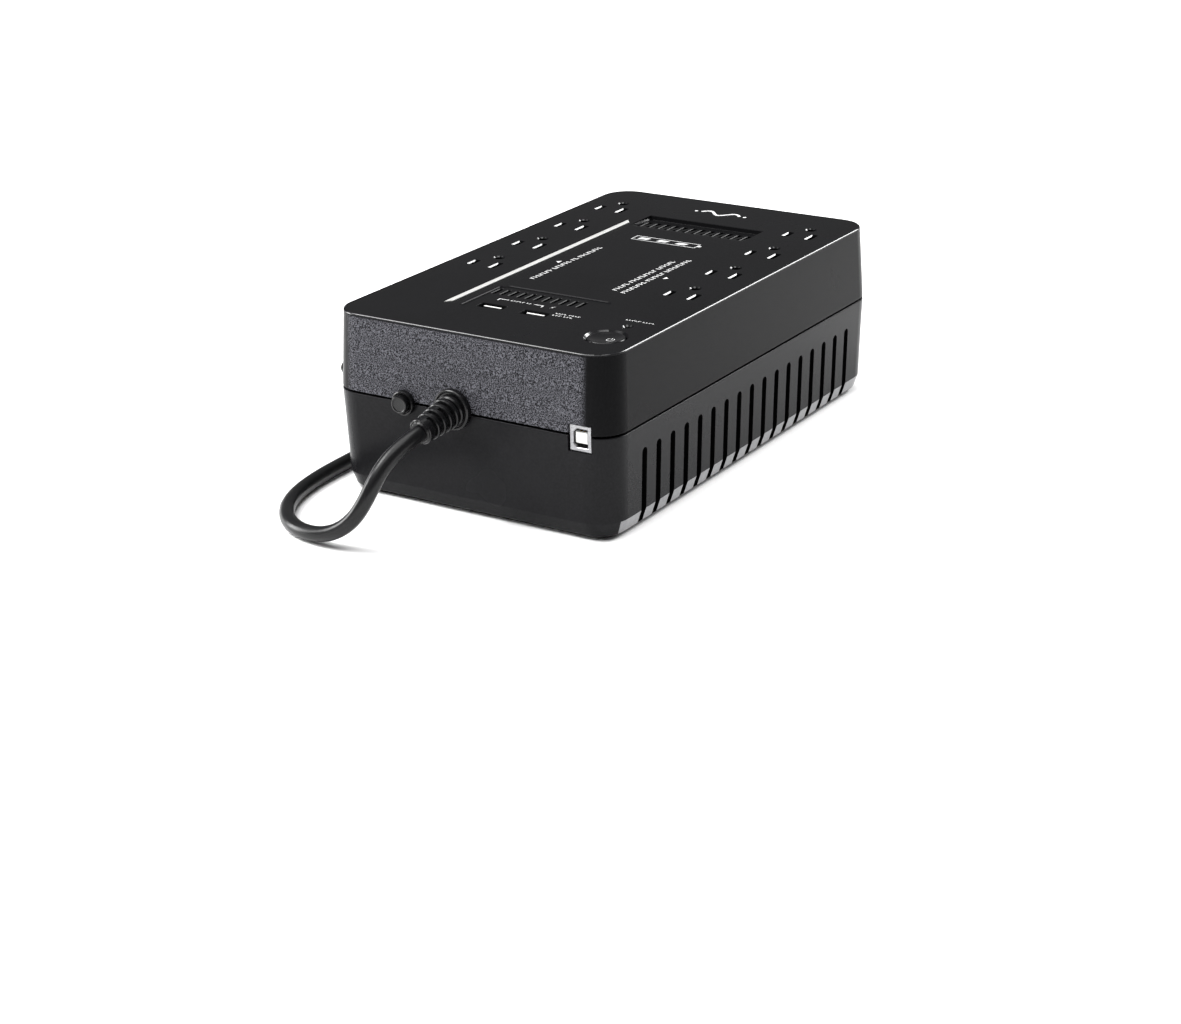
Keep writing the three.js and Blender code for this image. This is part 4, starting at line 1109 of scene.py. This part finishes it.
# ---- Charging ports ----
def charge_shell(node):
    """A folded sheet shell with rolled lips, spring windows and springs."""
    low, high = box_mm(node)
    middle, half = middle_mm(node)[:2], half_mm(node)[:2]
    top = high[2] - 1.6
    outside = ((0, 0, low[2]), (0, 0, top - 0.12), (-0.12, -0.12, top))
    inside_levels = ((0, 0, low[2] + 0.4), (0, 0, top - 0.35), (0.14, 0, top + 0.2))
    shell = solid_object(node.replace("usb_charge", "charge_port"), tapered(half, 0.6, middle, outside))
    carve(shell, tapered(half - 0.38, 0.3, middle, inside_levels))
    windows = [
        box((middle[0] + x - 1, middle[0] + x + 1), (middle[1] - 6, middle[1] + 6), (top - 6.5, top - 3.6))
        for x in (-3, 3)
    ]
    carve(shell, *windows)
    outline = ((-6.6, 0.0), (-4.6, -0.55), (-4.1, -0.5), (-4.1, -0.3), (-4.6, -0.33), (-6.6, 0.2))
    springs = [
        stack([
            [(middle[0] + x, middle[1] + sign * (half[1] + depth - 0.2), top + z) for z, depth in outline]
            for x in (spring - 0.75, spring + 0.75)
        ])
        for spring in (-3, 3) for sign in (-1, 1)
    ]
    carve(shell, *springs, operation="UNION")
    return shell


def charge_tongue(node):
    low, high = box_mm(node)
    levels = ((0, 0, low[2]), (0, 0, high[2] - 0.5), (-0.06, 0, high[2] - 0.15), (-0.15, 0, high[2]))
    return tapered(half_mm(node)[:2] - [0.5, 0.35], 0.2, middle_mm(node)[:2], levels, 3)


def charge_contacts(node):
    low, high = box_mm(node)
    places = [middle_mm(node)[0] + x for x in (-3.5, -1.25, 1.25, 3.5)]
    return joined(*[
        box((x - 0.5, x + 0.5), (high[1] - 0.4, high[1] - 0.23), (low[2] + 1, high[2] - 0.9)) for x in places
    ])


for i in (1, 2):
    node = f"usb_charge_tongue_{i}"
    # The shells get the darkened steel as painted shade.
    dress(charge_shell(f"usb_charge_shell_{i}"), PORT_STEEL_PAINTED_SHADE, "nickel", [f"usb_charge_shell_{i}"])
    tongue = piece(f"charge_port_tongue_{i}", charge_tongue(node), WHITE, "white_plastic", [node])
    second_material(tongue, INSULATOR, lambda place, normal: normal.z < 0.5)
    piece(f"charge_port_contacts_{i}", charge_contacts(node), BRASS, "brass")


# ---- Data port ----
def data_rings(*levels):
    """Rectangles across Y with their -X corners cut off. Each level is a place, an inset and a cut."""
    rings = []
    for y, inset, cut in levels:
        (x0, _, z0), (x1, _, z1) = DATA_LOW + inset, DATA_HIGH - inset
        outline = [(x1, z0), (x1, z1), (x0 + cut, z1), (x0, z1 - cut), (x0, z0 + cut), (x0 + cut, z0)]
        rings.append(across_y(outline, y))
    return stack(rings)


def data_shell():
    near, far = DATA_LOW[1], DATA_HIGH[1]
    wall = 1.7
    body = data_rings((near, 0.22, 0.3), (near + 0.2, 0, 0.3), (far, 0, 0.3))
    mouth = data_rings((near - 1, wall - 0.3, 1.9), (near + 0.02, wall - 0.25, 1.9), (near + 0.3, wall, 1.8),
                       (far - 0.6, wall, 1.8))
    shell = solid_object("data_port_shell", body)
    carve(shell, mouth)
    return shell


def data_tongue():
    low, high = box_mm("usb_data_tongue")
    (x, _, z), (half_x, _, half_z) = middle_mm("usb_data_tongue"), half_mm("usb_data_tongue")
    levels = ((low[1], 0.35), (low[1] + 0.3, 0.08), (low[1] + 0.7, 0), (high[1], 0))
    return stack([
        across_y(rounded(half_x - inset, half_z - inset, 0.35, (x, z), 3, 0.02), y) for y, inset in levels
    ])


def data_contacts():
    low, high = box_mm("usb_data_tongue")
    middle = middle_mm("usb_data_tongue")[0]
    return joined(*[
        box((middle + x - 0.35, middle + x + 0.35), (low[1] + 0.8, high[1] - 0.5), (z, z + 0.15))
        for z in (low[2] - 0.1, high[2] - 0.05) for x in (-0.95, 0.95)
    ])


dress(data_shell(), PORT_PLATE, "nickel", ["usb_data_shell"])
piece("data_port_tongue", data_tongue(), WHITE, "white_plastic", ["usb_data_tongue"])
piece("data_port_contacts", data_contacts(), BRASS, "brass")


# ---- Breaker ----
def breaker_collar():
    low, high = box_mm("breaker_collar")
    depth = high[1] - low[1]
    inner = BREAKER_NECK + 0.05
    profile = [(inner, 0), (5.75, 0), (5.75, depth - 0.6), (5.6, depth - 0.2), (5.3, depth),
               (4.9, depth - 0.02), (4.6, depth - 0.2), (4.6, depth - 0.4), (inner, depth - 0.4), (inner, 0)]
    return lathe(profile, (BREAKER[0], high[1], SEAM_Z), (0, -1, 0), 56)


def breaker_cap():
    low, high = box_mm("breaker_button")
    length, radius = high[1] - low[1], BREAKER_RADIUS
    profile = [(0, 0), (radius, 0), (radius, length - 0.5), (radius - 0.12, length - 0.16),
               (radius - 0.4, length - 0.02), (radius - 0.7, length), (radius - 0.95, length - 0.25),
               (radius - 1.3, length - 0.35), (0, length - 0.35)]
    return lathe(profile, (BREAKER[0], high[1], SEAM_Z), (0, -1, 0), 56)


piece("breaker_ring", breaker_collar(), COLLAR_BLACK, "insulator", ["breaker_collar"])
piece("breaker_cap", breaker_cap(), COLLAR_BLACK, "button_plastic", ["breaker_button"], body="breaker_button")

# ---- Printed marks: rows of dashes where the real one has words, and plain pictograms ----
INK_LIFT = 0.04


def ink_shape(outline, surface=TOP_Z):
    return prism(outline, surface - INK_LIFT, surface + INK_LIFT)


def ink_bar(x0, x1, y0, y1, surface=TOP_Z):
    return ink_shape([(x0, y0), (x1, y0), (x1, y1), (x0, y1)], surface)


def word_marks(start, end, low, high, words, along_y=True, surface=TOP_Z, size=2.2):
    """Short strokes set out like the letters of words, in a row from start to end. They spell nothing."""
    letter, space, word_space = 0.68 * size, 0.32 * size, 0.9 * size
    room = sum(n * (letter + space) - space for n in words) + word_space * (len(words) - 1)
    scale = (end - start) / room
    stroke = 0.36 * letter * scale
    strokes, place, step = [], start, 0
    for count in words:
        for _ in range(count):
            short = ((0, 0.3), (0.35, 0.62), (0.7, 1), (0, 0.3), (0.7, 1))[step % 5]
            for first, share in ((place, (0, 1)), (place + letter * scale - stroke, short)):
                along = (first, first + stroke)
                across = (low + (high - low) * share[0], low + (high - low) * share[1])
                strokes.append(ink_bar(*(across + along if along_y else along + across), surface))
            place += (letter + space) * scale
            step += 1
        place += (word_space - space) * scale
    return strokes


def outlet_labels():
    rows = (
        (-39.4, 21.2, -22.0, (7, 6, 2, 8)),
        (-37.0, 16.5, 21.8, (5, 9, 6)),
        (-39.0, 22.0, 27.5, (8, 6, 9)),
    )
    marks = [word_marks(start + CY, end + CY, low, low + 2.5, words) for start, end, low, words in rows]
    pointers = [
        ink_shape(at_cy((-24.3, -11.2), (-24.3, -7.8), (-26.6, -9.5))),
        ink_shape(at_cy((33.4, -10.9), (35.5, -9.2), (33.4, -7.5))),
    ]
    return joined(*sum(marks, []), *pointers)


def battery_pictogram():
    """A cell with three filled bars."""
    x0, x1, y0, y1, line = -16.0, 20.0, 41.6 + CY, 48.2 + CY, 0.4
    inner_low, inner_high = y0 + line + 0.001, y1 - line - 0.001
    bars = [
        ink_bar(x0, x1, y0, y0 + line), ink_bar(x0, x1, y1 - line, y1),
        ink_bar(x0, x0 + line, inner_low, inner_high), ink_bar(x1 - line, x1, inner_low, inner_high),
        ink_bar(x1 + 0.01, x1 + 1.8, y0 + 2.4, y1 - 2.4),
    ]
    low, high = y0 + 1.9, y1 - 1.9
    for start in (x0 + 2.6, x0 + 13.2, x0 + 23.8):
        bars.append(ink_shape([(start, low), (start + 5.2, low), (start + 6.4, high), (start + 1.2, high)]))
    return joined(*bars)


def wave_pictogram():
    """One and a half sine waves between two dots."""
    half_width, height, length, steps, middle_y = 0.75, 2.8, 22.0, 72, 102.7 + CY
    left, right = [], []
    for i in range(steps + 1):
        phase = i / steps * 3 * math.pi
        place = np.array([length * (i / steps - 0.5), middle_y + height * math.sin(phase), TOP_Z])
        slope = height * 3 * math.pi / length * math.cos(phase)
        across = np.array([-slope, 1, 0]) / math.hypot(slope, 1) * half_width
        left.append(place + across)
        right.append(place - across)
    dots = [ink_shape(arc((x, middle_y), 0.9, 0, 360 - 18, 19)) for x in (-14.0, 14.0)]
    return joined(ribbon(left, right, INK_LIFT, INK_LIFT), *dots)


def charge_marks():
    surface, line, y_low, y_high = TOP_Z - PANEL["depth"], 0.5, -74.0 + CY, -71.6 + CY
    flash = at_cy((11.2, -73.4), (12.6, -72.3), (12.1, -71.9), (13.4, -70.4), (11.5, -71.8), (12.0, -72.2))
    return joined(
        ink_bar(-16.8, -16.8 + line, y_low, y_high, surface),
        ink_bar(7.4 - line, 7.4, y_low, y_high, surface),
        ink_bar(-16.8 + line + 0.001, -11.6, y_high - line, y_high, surface),
        ink_bar(2.0, 7.4 - line - 0.001, y_high - line, y_high, surface),
        *word_marks(-10.4, 0.8, y_high - 0.9, y_high + 0.3, (5, 2), False, surface, 1.5),
        *word_marks(18.3, 31.0, -79.2 + CY, -78.0 + CY, (4, 4), False, surface, 1.5),
        *word_marks(18.3, 28.6, -82.0 + CY, -80.8 + CY, (3, 3), False, surface, 1.5),
        ink_shape(flash, surface),
    )


def power_marks():
    return joined(*word_marks(51.5, 66.0, -73.4 + CY, -72.2 + CY, (5, 4), False, size=1.5))


for marks in (outlet_labels, battery_pictogram, wave_pictogram, charge_marks, power_marks):
    piece(marks.__name__, marks(), INK, "white_plastic", angle=20)

# ---- Materials of the CAD nodes that stay as they are ----
INNER_MATERIALS = {
    "outlet_carrier": INSULATOR, "line_bar": BRASS, "neutral_bar": BRASS, "ground_bar": BRASS,
    "power_switch": INSULATOR, "breaker_body": INSULATOR, "main_board": BOARD, "front_board": BOARD,
    "transformer_core": CORE, "transformer_winding": WINDING, "battery_terminal": BRASS,
    "battery_lead_red": RED_WIRE, "battery_lead_black": JACKET, "battery": BATTERY, "heat_sink": ALUMINIUM,
    "transfer_relay": INSULATOR, "capacitor": CAPACITOR, "fuse": FUSE_GLASS, "buzzer": INSULATOR,
    "line_lead": JACKET, "neutral_lead": WHITE, "case_screw": STEEL,
}
for name, obj in frame["nodes"].items():
    key = next((k for k in INNER_MATERIALS if name.startswith(k)), None)
    if key:
        for slot in obj.material_slots:
            slot.material = INNER_MATERIALS[key]


# ---- Floor, light and finish ----
def make_floor():
    mesh = bpy.data.meshes.new("floor")
    reach = 6.0
    corners = [(-reach, -reach, 0), (reach, -reach, 0), (reach, reach, 0), (-reach, reach, 0)]
    mesh.from_pydata(corners, [], [(0, 1, 2, 3)])
    material, tree, shader = new_material("floor", (0.94, 0.94, 0.94), 0.6, 0.0, 0.2)
    shade = ramp(tree, noise(tree, object_place(tree), 3.0), [(0.3, 0.94), (0.7, 0.955)])
    wire(tree, shader.inputs, {"Base Color": shade})
    mesh.materials.append(material)
    floor = linked("floor", mesh)


def area_light(name, place, width, height, power):
    data = bpy.data.lights.new(name, "AREA")
    data.shape = "RECTANGLE"
    data.size, data.size_y = width, height
    data.energy = power
    light = linked(name, data)
    light.location = place
    light.rotation_euler = (Vector((0, 0, 0.05)) - Vector(place)).to_track_quat("-Z", "Y").to_euler()


make_floor()
area_light("overhead", (-0.25, -0.3, 1.5), 1.9, 1.9, 42)
area_light("near_left", (-0.8, -0.56, 1.15), 0.6, 0.6, 17)
area_light("rim", (1.0, 2.16, 1.38), 0.96, 1.44, 92)
area_light("left", (-1.35, -0.5, 0.28), 0.5, 0.7, 16)

world = bpy.data.worlds.new("studio")
world.use_nodes = True
backdrop = world.node_tree.nodes["Background"]
backdrop.inputs["Color"].default_value = (1, 1, 1, 1)
backdrop.inputs["Strength"].default_value = 0.2
bpy.context.scene.world = world
bpy.context.scene.view_settings.view_transform = "Standard"
